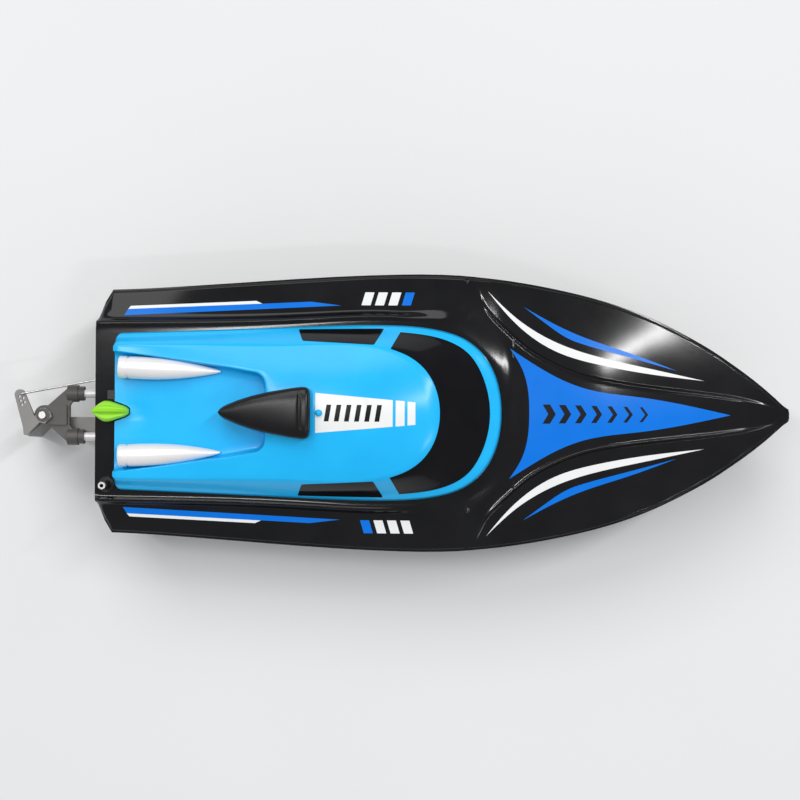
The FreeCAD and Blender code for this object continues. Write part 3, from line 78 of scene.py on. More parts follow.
# Canopy outlines from the stern to the nose: (x, y, height over BASE).
SKIRT = (
    (-150.0, 35.9, 0.0), (-99.4, 37.9, 0.0), (-66.6, 39.3, 0.0), (-26.9, 40.3, 0.0), (-2.1, 38.1, 0.0),
    (9.8, 34.0, 0.0), (18.2, 27.1, 0.0), (23.8, 17.4, 0.0), (26.7, 0.0, 0.0),
)
RIM = (
    (-150.0, 35.3, 3.2), (-99.0, 37.3, 3.4), (-66.4, 38.6, 3.6), (-26.9, 39.5, 3.6), (-2.4, 37.4, 3.6),
    (9.2, 33.4, 3.6), (17.5, 26.6, 3.6), (23.1, 17.0, 3.6), (26.0, 0.0, 3.6),
)
SILL = (
    (-150.0, 33.6, 4.6), (-98.8, 35.8, 5.0), (-66.3, 37.6, 5.4), (-26.9, 37.7, 5.6), (-10.2, 35.6, 5.6),
    (2.8, 32.3, 5.4), (11.3, 27.0, 5.2), (17.7, 16.6, 5.0), (21.0, 0.0, 4.9),
)
ROOF = (
    (-150.0, 30.6, 11.0), (-98.0, 30.9, 13.5), (-65.6, 30.9, 16.2), (-26.8, 29.6, 18.0),
    (-19.0, 27.1, 18.6), (-12.2, 22.8, 19.2), (-6.9, 17.0, 19.8), (-3.5, 9.3, 20.3), (-2.2, 0.0, 20.5),
)
CROWN = ((-150.0, 11.6), (-98.0, 17.5), (-65.6, 21.3), (-26.8, 23.6), (-19.0, 23.4), (-12.2, 22.8),
         (-7.5, 22.0), (-4.6, 21.2), (-2.2, 20.5))
RECESS = ((-150.0, 27.4), (-124.0, 24.0), (-106.0, 21.4), (-93.0, 19.4), (-87.0, 18.3), (-84.0, 17.6),
          (-81.3, 15.4), (-80.3, 11.8), (-80.2, 0.0))
RECESS_FLOOR = 4.4
RAMP_START = -140.0
RAMP_SLOPE = 0.0987
RAMP_BLEND = 6.0
CANOPY_REAR = -150.0
KNOB_X = -154.0
KNOB_WIDTH = 9.5
KNOB_OUTLINE = ((-0.63, 0.09), (-0.36, 0.29), (-0.10, 0.46), (0.10, 0.50), (0.42, 0.43), (0.74, 0.32),
                (0.97, 0.23), (1.12, 0.11))

SIDE_WINDOW = ((-66.4, 37.8), (-27.4, 38.4), (-31.8, 30.6), (-64.0, 32.3))
WINDSCREEN_OUTER = ((-20.0, 36.8), (2.8, 32.5), (10.5, 27.8), (17.0, 18.3), (21.0, 0.0))
WINDSCREEN_INNER = ((-24.4, 28.8), (-18.3, 26.5), (-9.9, 20.7), (-4.4, 12.0), (-2.2, 0.0))


# ---------------------------------------------------------------- curves and numbers

def smooth(low, high, value):
    """0 below low, 1 above high, and an even blend between."""
    share = np.clip((np.asarray(value, float) - low) / (high - low), 0.0, 1.0)
    return share * share * (3.0 - 2.0 * share)


def cubic(knots, values, at):
    """Natural cubic spline through values at knots."""
    knots = np.asarray(knots, float)
    values = np.asarray(values, float).reshape(len(knots), -1)
    count = len(knots)
    gap = np.diff(knots)
    system = np.eye(count)
    right = np.zeros_like(values)
    for i in range(1, count - 1):
        system[i, i - 1:i + 2] = gap[i - 1], 2 * (gap[i - 1] + gap[i]), gap[i]
        right[i] = 6 * ((values[i + 1] - values[i]) / gap[i] - (values[i] - values[i - 1]) / gap[i - 1])
    bend = np.linalg.solve(system, right)
    at = np.asarray(at, float).ravel()
    k = np.clip(np.searchsorted(knots, at) - 1, 0, count - 2)
    d = (at - knots[k])[:, None]
    g = gap[k][:, None]
    slope = (values[k + 1] - values[k]) / g - g * (2 * bend[k] + bend[k + 1]) / 6
    return values[k] + d * (slope + d * (bend[k] / 2 + d * (bend[k + 1] - bend[k]) / (6 * g)))


def table(points, at):
    """Smooth value of a two-column table."""
    points = np.asarray(points, float)
    at = np.asarray(at, float)
    return cubic(points[:, 0], points[:, 1], np.clip(at, points[0, 0], points[-1, 0])).reshape(at.shape)


def half_width(x):
    """Half width of the deck."""
    corner = np.asarray(OUTLINE_CORNER)
    body = np.where(x < corner[-1, 0], np.interp(x, corner[:, 0], corner[:, 1]), table(OUTLINE, x))
    tip = np.sqrt(np.maximum(BOW_RADIUS ** 2 - (x - BOW_TIP + BOW_RADIUS) ** 2, 0.0))
    return np.where(x > OUTLINE[-1][0], tip, body)


def through(points, per_step, extra=()):
    """A smooth line through points, evenly stepped between each pair, with a few extra places."""
    points = np.asarray(points, float)
    knots = np.concatenate([[0], np.cumsum(np.linalg.norm(np.diff(points, axis=0), axis=1))])
    shares = np.sort(np.concatenate([np.arange((len(points) - 1) * per_step + 1) / per_step, extra]))
    return cubic(knots, points, np.interp(shares, np.arange(len(points)), knots))


def round_nose(points, per_step, extra=()):
    """A smooth half outline whose end on the centreline is square to it."""
    points = np.asarray(points, float)
    mirror = points[-2::-1].copy()
    mirror[:, 1] *= -1
    kept = (len(points) - 1) * per_step + 1 + len(extra)
    return through(np.vstack([points, mirror]), per_step, extra)[:kept]


def distance_to(points, x, y):
    """Distance in plan from every (x, y) to a line of points."""
    line = through(points, 24)[:, :2]
    flat = np.stack([np.ravel(x), np.ravel(y)], axis=1)
    nearest = np.full(len(flat), 1e9)
    for start, end in zip(line, line[1:]):
        run = end - start
        share = np.clip((flat - start) @ run / (run @ run), 0, 1)
        gap = flat - start - share[:, None] * run
        nearest = np.minimum(nearest, np.hypot(gap[:, 0], gap[:, 1]))
    return nearest.reshape(np.shape(x))


def line_at(points, x):
    """Half width of a line of points at x, 0 ahead of its end."""
    line = through(points, 24)[:, :2]
    return np.interp(x, line[:, 0], line[:, 1], right=0.0)


# ---------------------------------------------------------------- materials

def node(tree, kind, **values):
    made = tree.nodes.new(kind)
    for key, value in values.items():
        if key in made.inputs:
            made.inputs[key].default_value = value
        else:
            setattr(made, key, value)
    return made


def noise(tree, scale, detail=4.0, coords=None):
    made = node(tree, "ShaderNodeTexNoise", Scale=scale, Detail=detail)
    if coords is not None:
        tree.links.new(coords, made.inputs["Vector"])
    return made


def material(name, colour, rough=0.35, metal=0.0, vary=0.06, rough_vary=0.08, bump=0.02, grain=900.0,
             patch=60.0, coat=0.0, coat_rough=0.05, specular=0.5, transmission=0.0, stretch=None,
             alpha=1.0, sheen=0.0):
    """A shader with slow colour variation, fine grain in roughness and a slight bump, all in object space."""
    made = bpy.data.materials.new(name)
    made.use_nodes = True
    tree = made.node_tree
    shader = tree.nodes["Principled BSDF"]
    where = node(tree, "ShaderNodeTexCoord").outputs["Object"]
    if stretch:
        mapping = node(tree, "ShaderNodeMapping", Scale=stretch)
        tree.links.new(where, mapping.inputs["Vector"])
        where = mapping.outputs["Vector"]
    slow = noise(tree, patch, 3.0, where)
    fine = noise(tree, grain, 2.0, where)
    ramp = node(tree, "ShaderNodeValToRGB")
    low = [max(0.0, c * (1 - vary)) for c in colour[:3]]
    high = [min(1.0, c * (1 + vary) + 0.002) for c in colour[:3]]
    ramp.color_ramp.elements[0].position = 0.3
    ramp.color_ramp.elements[1].position = 0.7
    ramp.color_ramp.elements[0].color = (*low, 1)
    ramp.color_ramp.elements[1].color = (*high, 1)
    tree.links.new(slow.outputs["Fac"], ramp.inputs["Fac"])
    tree.links.new(ramp.outputs["Color"], shader.inputs["Base Color"])
    spread = node(tree, "ShaderNodeMapRange")
    spread.inputs["To Min"].default_value = max(0.02, rough - rough_vary / 2)
    spread.inputs["To Max"].default_value = min(1.0, rough + rough_vary / 2)
    mixed = node(tree, "ShaderNodeMath", operation="MULTIPLY_ADD")
    mixed.inputs[1].default_value = 0.5
    tree.links.new(fine.outputs["Fac"], mixed.inputs[0])
    half = node(tree, "ShaderNodeMath", operation="MULTIPLY")
    half.inputs[1].default_value = 0.5
    tree.links.new(slow.outputs["Fac"], half.inputs[0])
    tree.links.new(half.outputs[0], mixed.inputs[2])
    tree.links.new(mixed.outputs[0], spread.inputs["Value"])
    tree.links.new(spread.outputs["Result"], shader.inputs["Roughness"])
    if bump:
        relief = node(tree, "ShaderNodeBump", Strength=bump, Distance=0.0004)
        tree.links.new(fine.outputs["Fac"], relief.inputs["Height"])
        tree.links.new(relief.outputs["Normal"], shader.inputs["Normal"])
    shader.inputs["Metallic"].default_value = metal
    shader.inputs["Specular IOR Level"].default_value = specular
    shader.inputs["Coat Weight"].default_value = coat
    shader.inputs["Coat Roughness"].default_value = coat_rough
    shader.inputs["Transmission Weight"].default_value = transmission
    shader.inputs["Sheen Weight"].default_value = sheen
    shader.inputs["Alpha"].default_value = alpha
    return made


LOOKS = {
    "hull_black": material("Black gloss shell", (0.0045, 0.0045, 0.0055), 0.1, rough_vary=0.04, vary=0.15,
                           bump=0.002, grain=500, specular=0.3),
    "canopy_blue": material("Sky blue shell", (0.012, 0.50, 1.0), 0.2, rough_vary=0.06, vary=0.03,
                            bump=0.002, grain=450, specular=0.3),
    "glazing": material("Smoked glazing", (0.003, 0.003, 0.005), 0.07, rough_vary=0.04, vary=0.1, bump=0.001,
                        grain=300, specular=0.2),
    "silver": material("Silver paint", (0.90, 0.88, 0.885), 0.3, metal=0.12, vary=0.04, bump=0.03, grain=2400,
                       coat=0.2),
    "scoop_black": material("Satin black moulding", (0.0065, 0.0065, 0.0075), 0.26, vary=0.12, bump=0.02,
                            grain=1500, specular=0.3),
    "knob_green": material("Lime moulding", (0.30, 0.74, 0.02), 0.34, vary=0.05, bump=0.02, grain=900,
                           coat=0.08, specular=0.4),
    "bracket_grey": material("Dark grey nylon", (0.075, 0.07, 0.066), 0.42, vary=0.14, bump=0.08, grain=1800),
    "rudder_grey": material("Grey painted alloy", (0.225, 0.22, 0.212), 0.42, metal=0.2, vary=0.07, bump=0.05,
                            grain=1600),
    "steel": material("Bright steel", (0.50, 0.49, 0.485), 0.30, metal=1.0, vary=0.08, rough_vary=0.16,
                      bump=0.03, grain=900, stretch=(0.08, 1, 1)),
    "brass": material("Brass", (0.66, 0.48, 0.20), 0.28, metal=1.0, vary=0.1, bump=0.03),
    "rubber": material("Black rubber", (0.02, 0.02, 0.021), 0.7, vary=0.15, bump=0.15, grain=2200, sheen=0.1),
    "silicone": material("White silicone", (0.72, 0.73, 0.72), 0.45, vary=0.05, bump=0.06, grain=1400),
    "clear_cover": material("Smoke clear cover", (0.75, 0.78, 0.8), 0.1, vary=0.03, transmission=0.92,
                            bump=0.004, grain=400),
    "servo_black": material("Servo case", (0.022, 0.022, 0.025), 0.45, vary=0.12, bump=0.1, grain=2600),
    "horn_white": material("White nylon", (0.78, 0.78, 0.75), 0.4, vary=0.04, bump=0.05, grain=1500),
    "prop_black": material("Propeller nylon", (0.02, 0.02, 0.022), 0.3, vary=0.12, bump=0.04, grain=1400),
    "motor_steel": material("Motor can", (0.50, 0.50, 0.49), 0.34, metal=1.0, vary=0.1, rough_vary=0.2,
                            bump=0.05, grain=1300, stretch=(1, 0.2, 0.2)),
    "jacket": material("Anodised jacket", (0.03, 0.14, 0.55), 0.3, metal=0.85, vary=0.08, bump=0.03),
    "battery_wrap": material("Battery wrap", (0.03, 0.12, 0.42), 0.28, vary=0.08, bump=0.05, grain=700,
                             coat=0.3),
    "strap": material("Woven strap", (0.03, 0.03, 0.032), 0.8, vary=0.25, bump=0.6, grain=3200,
                      stretch=(1, 0.3, 1), sheen=0.3),
    "board_green": material("Board", (0.015, 0.16, 0.05), 0.35, vary=0.2, bump=0.08, grain=1900, patch=420),
    "chip": material("Chip case", (0.02, 0.02, 0.022), 0.5, vary=0.1, bump=0.06, grain=2800),
    "hose": material("Silicone hose", (0.62, 0.66, 0.68), 0.25, vary=0.05, transmission=0.35, bump=0.02),
    "lead": material("Lead jacket", (0.45, 0.02, 0.02), 0.42, vary=0.08, bump=0.05, grain=1600),
    "decal_blue": material("Blue foil", (0.001, 0.18, 0.76), 0.2, vary=0.03, bump=0.002, grain=600,
                           specular=0.16),
    "decal_white": material("White foil", (0.87, 0.88, 0.88), 0.24, vary=0.02, bump=0.002, grain=600,
                            specular=0.3),
}
INK = material("Black ink", (0.004, 0.004, 0.006), 0.3, vary=0.1, bump=0.01, specular=0.15)


# ---------------------------------------------------------------- pieces

def piece(name, points, faces, slot, body, replaces=(), look=None, flat=False):
    """A mesh object from points in millimetres, riding on a body."""
    mesh = bpy.data.meshes.new(name)
    mesh.from_pydata([tuple(float(v) * MM for v in p) for p in points], [], faces)
    mesh.validate()
    tidy = bmesh.new()
    tidy.from_mesh(mesh)
    bmesh.ops.remove_doubles(tidy, verts=tidy.verts, dist=2e-6)
    bmesh.ops.recalc_face_normals(tidy, faces=tidy.faces)
    tidy.to_mesh(mesh)
    tidy.free()
    for polygon in mesh.polygons:
        polygon.use_smooth = not flat
    mesh.materials.append(look or LOOKS[slot])
    made = bpy.data.objects.new(name, mesh)
    bpy.context.scene.collection.objects.link(made)
    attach(made, body)
    if replaces:
        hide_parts(*replaces)
    return made


def grid_faces(rows, columns, start=0, close=False):
    """Quads of a grid whose points are listed row by row."""
    faces = []
    for r in range(rows - 1):
        for c in range(columns if close else columns - 1):
            d = (c + 1) % columns
            faces.append((start + r * columns + c, start + r * columns + d,
                          start + (r + 1) * columns + d, start + (r + 1) * columns + c))
    return faces


def both_sides(points, faces):
    """Port points and faces with their starboard mirror."""
    points = [tuple(p) for p in points]
    mirror = [(x, -y, z) for x, y, z in points]
    count = len(points)
    return points + mirror, faces + [tuple(count + i for i in reversed(face)) for face in faces]


def modifier(made, kind, name, **values):
    added = made.modifiers.new(name, kind)
    for key, value in values.items():
        setattr(added, key, value)
    return added


def settle(made):
    """Apply an object's modifiers to its mesh."""
    graph = bpy.context.evaluated_depsgraph_get()
    graph.update()
    mesh = bpy.data.meshes.new_from_object(made.evaluated_get(graph))
    old = made.data
    made.modifiers.clear()
    made.data = mesh
    bpy.data.meshes.remove(old)
    return made


def sharp(made, degrees=35):
    """Smooth shading with hard edges over an angle."""
    made.data.set_sharp_from_angle(angle=math.radians(degrees))


def surface_of(made):
    """A ray-cast tree of a piece in the row frame."""
    mesh = made.data
    return BVHTree.FromPolygons([made.matrix_world @ v.co for v in mesh.vertices],
                                [tuple(p.vertices) for p in mesh.polygons])


def drop(tree, x, y, lift):
    """The point of a surface under (x, y) in millimetres, lifted along the surface's normal."""
    spot, normal, index, distance = tree.ray_cast(Vector((x * MM, y * MM, 0.2)), Vector((0, 0, -1)))
    if spot is None:
        return None
    if normal.z < 0:
        normal = -normal
    return spot / MM + normal * lift


def sheet_on(name, outline, tree, slot, body, lift=DECAL_LIFT, step=1.5, replaces=(), look=None, depth=0.0):
    """A thin sheet with a plan outline, laid on a surface; a depth turns its rim down."""
    flat = bmesh.new()
    corners = [flat.verts.new((x, y, 0)) for x, y in outline]
    flat.faces.new(corners)
    low = np.min(np.asarray(outline), axis=0)
    high = np.max(np.asarray(outline), axis=0)
    for axis in (0, 1):
        direction = Vector((1, 0, 0)) if axis == 0 else Vector((0, 1, 0))
        for at in np.arange(low[axis] + step, high[axis], step):
            everything = flat.verts[:] + flat.edges[:] + flat.faces[:]
            bmesh.ops.bisect_plane(flat, geom=everything, plane_co=direction * float(at), plane_no=direction)
    bmesh.ops.triangulate(flat, faces=[f for f in flat.faces if len(f.verts) > 4])
    if depth:
        rim = [e for e in flat.edges if e.is_boundary]
        made = bmesh.ops.extrude_edge_only(flat, edges=rim)["geom"]
        lower = {v for v in made if isinstance(v, bmesh.types.BMVert)}
    else:
        lower = set()
    points = []
    for vertex in flat.verts:
        spot = drop(tree, vertex.co.x, vertex.co.y, lift - (depth if vertex in lower else 0.0))
        points.append(tuple(spot) if spot else (vertex.co.x, vertex.co.y, BASE))
    flat.verts.index_update()
    faces = [tuple(v.index for v in f.verts) for f in flat.faces]
    flat.free()
    made = piece(name, points, faces, slot, body, replaces, look)
    if depth:
        sharp(made, 40)
    return made


def skinned(name, rings, slot, body, replaces=(), degrees=40, look=None):
    """A closed skin over a row of closed rings, with flat ends."""
    size = len(rings[0])
    points = [spot for ring in rings for spot in ring]
    faces = grid_faces(len(rings), size, close=True)
    faces.append(tuple(range(size)))
    faces.append(tuple(range(len(points) - 1, len(points) - size - 1, -1)))
    made = piece(name, points, faces, slot, body, replaces, look)
    sharp(made, degrees)
    return made


# ---------------------------------------------------------------- deck
EDGE_LIFT = 0.9
LAND_DROP = 2.1
STEP_DEPTH = 1.1
LIP_HEIGHT = 0.3
CREST_HEIGHT = 0.75
EDGE_ROUND = 0.75


def deck_height(x, y):
    """Height of the deck's top over the plan."""
    reach = np.abs(y)
    width = half_width(x)
    edge = table(EDGE_HEIGHT, x) + EDGE_LIFT
    centre = table(CENTRE_HEIGHT, x)
    ring_at = line_at(RING, x)
    ring_far = distance_to(RING, x, reach)
    ring_side = np.where(reach < ring_at, -ring_far, ring_far)
    drop_aft = LAND_DROP - 1.9 * smooth(-30.0, 8.0, x)
    foot = centre - drop_aft
    start = ring_at * (1 - smooth(2.0, 31.0, x))
    power = 1.0 + 0.8 * smooth(-10.0, 36.0, x)
    share = np.clip((reach - start) / np.maximum(width - start, 0.5), 0, 1)
    land = foot - (foot - edge) * share ** power
    crease_at = np.where(x < 10.0, 80.0, line_at(CREASE, x))
    crease_far = distance_to(CREASE, x, reach)
    crease_side = np.where(reach < crease_at, -crease_far, crease_far)
    step = STEP_DEPTH * smooth(13.0, 30.0, x) * (1 - 0.9 * smooth(95.0, 156.0, x))
    fall = np.clip(1 - (reach - crease_at) / np.maximum(width - crease_at, 0.8), 0, 1) ** 0.75
    height = land - step * smooth(-0.55, 0.85, crease_side) * fall
    lip = LIP_HEIGHT * smooth(14.0, 24.0, x) * (1 - smooth(125.0, 150.0, x))
    height = height + lip * np.exp(-((crease_side + 0.7) / 0.7) ** 2)
    spread = 1.0 + 2.6 * smooth(-24.0, 10.0, x)
    inside = smooth(-1.8, 1.4, -ring_side / spread)
    height = height + (SEAT - height) * inside * (1 - smooth(27.0, 34.0, x))
    crest = CREST_HEIGHT * (1 - smooth(-34.0, 8.0, x))
    height = height + crest * np.exp(-(ring_side / 1.5) ** 2)
    slope = np.gradient(width[:, 0], x[:, 0])[:, None]
    edge_gap = (width - reach) / np.hypot(1.0, np.clip(slope, -3, 3))
    return height - EDGE_ROUND * (1 - smooth(0.75, 1.6, edge_gap))


def canopy_outline(inset, per_step=8):
    """The canopy's plan outline drawn in, as a closed list of points."""
    half = round_nose([(x, y, 0) for x, y, z in SKIRT], per_step)[:, :2]
    length = half[-1, 0] - half[0, 0]
    middle = (half[-1, 0] + half[0, 0]) / 2
    along = 1 - 2 * inset / length
    across = 1 - inset / half[:, 1].max()
    port = [(middle + (x - middle) * along, y * across) for x, y in half]
    return port + [(x, -y) for x, y in reversed(port[:-1])]


def band(outline, profile):
    """A closed rail along an outline: profile gives (outward, height) pairs round its section."""
    loop = np.asarray(outline)
    ahead = np.roll(loop, -1, axis=0) - loop
    behind = loop - np.roll(loop, 1, axis=0)
    ahead /= np.linalg.norm(ahead, axis=1)[:, None]
    behind /= np.linalg.norm(behind, axis=1)[:, None]
    tangent = ahead + behind
    tangent /= np.linalg.norm(tangent, axis=1)[:, None]
    normal = np.stack([tangent[:, 1], -tangent[:, 0]], axis=1)
    if np.sum((loop - loop.mean(axis=0)) * normal) < 0:
        normal = -normal
    miter = np.clip(np.sum(normal * np.stack([ahead[:, 1], -ahead[:, 0]], axis=1), axis=1), -1, 1)
    stretch = 1 / np.maximum(np.abs(miter), 0.5)
    points = []
    for spot, out, more in zip(loop, normal, stretch):
        for reach, height in profile:
            points.append((spot[0] + out[0] * reach * more, spot[1] + out[1] * reach * more, height))
    rows = len(loop)
    columns = len(profile)
    faces = []
    for r in range(rows):
        s = (r + 1) % rows
        for c in range(columns):
            d = (c + 1) % columns
            faces.append((r * columns + c, r * columns + d, s * columns + d, s * columns + c))
    return points, faces


def deck_columns(width, ring_at, crease_at, count):
    """Distances from the centreline at one station, closer together near the ring, the crease and the rim."""
    y = np.linspace(0, width, 500)
    dense = 1 + 5 * np.exp(-((y - ring_at) / 3.0) ** 2) + 9 * np.exp(-((y - crease_at) / 1.5) ** 2)
    dense += 5 * np.exp(-((width - y) / 1.6) ** 2)
    total = np.concatenate([[0], np.cumsum((dense[1:] + dense[:-1]) / 2)])
    return np.interp(np.linspace(0, total[-1], count), total, y)


def build_deck():
    """The moulded deck with its ring, creased bow, flange, cockpit opening, coaming and ledge."""
    stern = [-160.0, -159.5, -158.3, -156.6, -154.9, -153.6, -153.2, -152.6]
    bow = [153.0, 154.5, 155.8, 157.0, 157.8, 158.3, 158.7, 159.05, 159.3, 159.43, 159.49]
    stations = np.concatenate([stern, np.linspace(-151.0, 7.0, 110), np.linspace(8.0, 44.0, 70),
                               np.linspace(45.0, 151.8, 95), bow])
    count = 112
    width = half_width(stations)
    ring_at = line_at(RING, stations)
    crease_at = np.where(stations < 10.0, 200.0, line_at(CREASE, stations))
    x = np.repeat(stations[:, None], count, axis=1)
    y = np.array([deck_columns(*row, count) for row in zip(width, ring_at, crease_at)])
    z = deck_height(x, y)
    rows, columns = x.shape
    port = [(x[r, c], y[r, c], z[r, c]) for r in range(rows) for c in range(columns)]
    faces = grid_faces(rows, columns)
    points, faces = both_sides(port, faces)
    rim = []
    half = len(port)
    for r in range(rows):
        rim.append(r * columns + columns - 1)
    for c in range(columns - 2, -1, -1):
        rim.append((rows - 1) * columns + c)
    bow_half = rim[:]
    loop = bow_half + [i + half for i in reversed(bow_half[:-1])]
    loop += [half + c for c in range(columns - 2, -1, -1)] + [c for c in range(1, columns - 1)]
    edge = {}
    for i in loop:
        px, py, pz = points[i]
        low = min(pz - 0.35, float(table(EDGE_HEIGHT, px)) - 0.15)
        edge[i] = len(points)
        points.append((px, py, low))
    for one, two in zip(loop, loop[1:] + loop[:1]):
        faces.append((one, two, edge[two], edge[one]))
    skin = piece("deck", points, faces, "hull_black", "hull", ("deck_shell",))
    modifier(skin, "SOLIDIFY", "Wall", thickness=1.5 * MM, offset=-1, use_even_offset=False)
    outline = canopy_outline(3.6)
    block = piece("opening_cutter", *prism(outline, 40.0, 70.0), "hull_black", "hull")
    modifier(skin, "BOOLEAN", "Opening", object=block, operation="DIFFERENCE", solver="EXACT")
    settle(skin)
    bpy.data.objects.remove(block)
    for vertex in skin.data.vertices:
        vertex.co.x = max(-160.0 * MM, min(BOW_TIP * MM, vertex.co.x))
    sharp(skin, 38)
    top = 58.2
    coaming = ((0.0, 48.4), (1.5, 48.4), (1.5, top - 0.4), (1.1, top), (0.4, top), (0.0, top - 0.4))
    wall = piece("deck_coaming", *band(outline, coaming), "hull_black", "hull")
    sharp(wall, 40)
    shelf = ((0.3, 48.3), (0.3, 49.8), (-5.6, 49.8), (-6.0, 49.5), (-6.0, 48.6), (-5.6, 48.3))
    ledge = piece("deck_ledge", *band(outline, shelf), "hull_black", "hull")
    sharp(ledge, 40)
    return skin


def prism(outline, low, high):
    """An upright block on a closed outline."""
    count = len(outline)
    points = [(x, y, low) for x, y in outline] + [(x, y, high) for x, y in outline]
    faces = [tuple(range(count)), tuple(range(2 * count - 1, count - 1, -1))]
    for i in range(count):
        j = (i + 1) % count
        faces.append((i, j, count + j, count + i))
    return points, faces


# ---------------------------------------------------------------- canopy

def crown_height(x, y):
    """Height of the roof over BASE, a rounded arch between the roof edges."""
    roof = round_nose(ROOF, 12)
    edge_y = np.interp(x, roof[:, 0], roof[:, 1])
    edge_z = np.interp(x, roof[:, 0], roof[:, 2])
    crown = table(CROWN, x)
    share = np.clip(np.abs(y) / np.maximum(edge_y, 0.4), 0, 1)
    return crown - (crown - edge_z) * share ** 2.0


def rounded_section(corners, radii, steps=4):
    """A broken line with each inner corner replaced by a small curve."""
    out = [corners[0]]
    for before, corner, after, radius in zip(corners, corners[1:], corners[2:], radii):
        back = before - corner
        ahead = after - corner
        first = corner + back * min(0.48, radius / max(np.linalg.norm(back), 1e-6))
        last = corner + ahead * min(0.48, radius / max(np.linalg.norm(ahead), 1e-6))
        for k in range(steps + 1):
            t = k / steps
            out.append(first * (1 - t) ** 2 + corner * 2 * t * (1 - t) + last * t ** 2)
    out.append(corners[-1])
    return out


def floor_height(x):
    """Height over BASE of the well's floor, rising towards its front."""
    along = x - RAMP_START
    if along > RAMP_BLEND:
        return RECESS_FLOOR + RAMP_SLOPE * along
    return RECESS_FLOOR + RAMP_SLOPE * max(0.0, along + RAMP_BLEND) ** 2 / (4 * RAMP_BLEND)


def canopy_columns():
    """Section points of the canopy's port half, one list per column from the stern to the nose."""
    per_step = 10
    ends = np.array([0.002, 0.006, 0.012, 0.02, 0.03, 0.045, 0.07])
    lines = [round_nose(points, per_step, ends) for points in (SKIRT, RIM, SILL, ROOF)]
    recess = round_nose([(x, y, 0.0) for x, y in RECESS], per_step, ends)
    columns = []
    for i in range(len(lines[0])):
        corners = [line[i].copy() for line in lines]
        brink = recess[i].copy()
        brink[2] = float(crown_height(np.array([brink[0]]), np.array([brink[1]]))[0])
        direction = brink[:2] - corners[-1][:2]
        crown = []
        for share in (0.42, 0.52, 0.62, 0.72, 0.82, 0.92):
            spot = corners[-1][:2] + direction * share
            level = float(crown_height(np.array([spot[0]]), np.array([spot[1]]))[0])
            crown.append(np.array([spot[0], spot[1], level]))
        blend = float(smooth(-88.0, -80.4, brink[0]))
        inward = np.array([-0.1 - 0.9 * blend, -1.0 + blend])
        inward = inward / np.linalg.norm(inward)
        foot_x = brink[0] + inward[0]
        foot = np.array([foot_x, max(0.0, brink[1] + inward[1]), floor_height(foot_x)])
        section = rounded_section(corners + [crown[0]], (1.4, 2.6, 5.5), 6)
        inner = np.array([foot[0], foot[1] * 0.8, foot[2]])
        tail = rounded_section([crown[-1], brink, foot, inner], (1.0, 1.3))
        floor = [np.array([foot[0], foot[1] * k, foot[2]]) for k in (0.55, 0.35, *np.linspace(0.18, 0.0, 14))]
        columns.append(section + crown[1:-1] + tail + floor)
    columns = np.array(columns)
    columns[:, -14:] = open_notch(columns[:, -14:])
    return round_ends(columns)


def open_notch(floor, gap=0.4, reach=16.0):
    """Draw the floor's rear edge forward round the knob, and the rows ahead of it closer together."""
    outline = np.asarray(KNOB_OUTLINE[2:]) * KNOB_WIDTH + gap
    edge = np.interp(floor[:, :, 1], outline[::-1, 1], outline[::-1, 0] + KNOB_X)
    shift = np.maximum(edge - CANOPY_REAR, 0.0)
    along = np.clip(floor[:, :, 0] - CANOPY_REAR, 0, reach)
    floor[:, :, 0] += shift * (1 - along / reach)
    return floor


def round_ends(columns, radius=2.6):
    """Round the outer corners and the top edge at the canopy's rear end."""
    gap = np.clip(radius - (columns[:, :, 0] - CANOPY_REAR), 0, radius)
    inset = radius - np.sqrt(radius ** 2 - gap ** 2)
    columns[:, :, 1] -= inset * smooth(27.0, 34.0, columns[:, :, 1])
    columns[:, :, 2] -= 0.55 * inset * smooth(5.0, 9.0, columns[:, :, 2])
    return columns


def build_canopy():
    """Canopy shell with its pontoons, the well between them and the notch for the knob."""
    columns = canopy_columns()
    count, size = columns.shape[:2]
    grid = columns.reshape(-1, 3) + np.array([0, 0, BASE])
    faces = grid_faces(count, size)
    points = [tuple(p) for p in grid]
    rear = []
    for i in range(size):
        x, y, z = points[i]
        rear.append(len(points))
        points.append((x, y, BASE))
    for one in range(size - 1):
        faces.append((one, one + 1, rear[one + 1], rear[one]))
    points, faces = both_sides(points, faces)
    shell = piece("canopy_shell", points, faces, "canopy_blue", "canopy", ("canopy",))
    modifier(shell, "SOLIDIFY", "Wall", thickness=1.3 * MM, offset=-1, use_even_offset=False)
    settle(shell)
    sharp(shell, 50)
    return shell


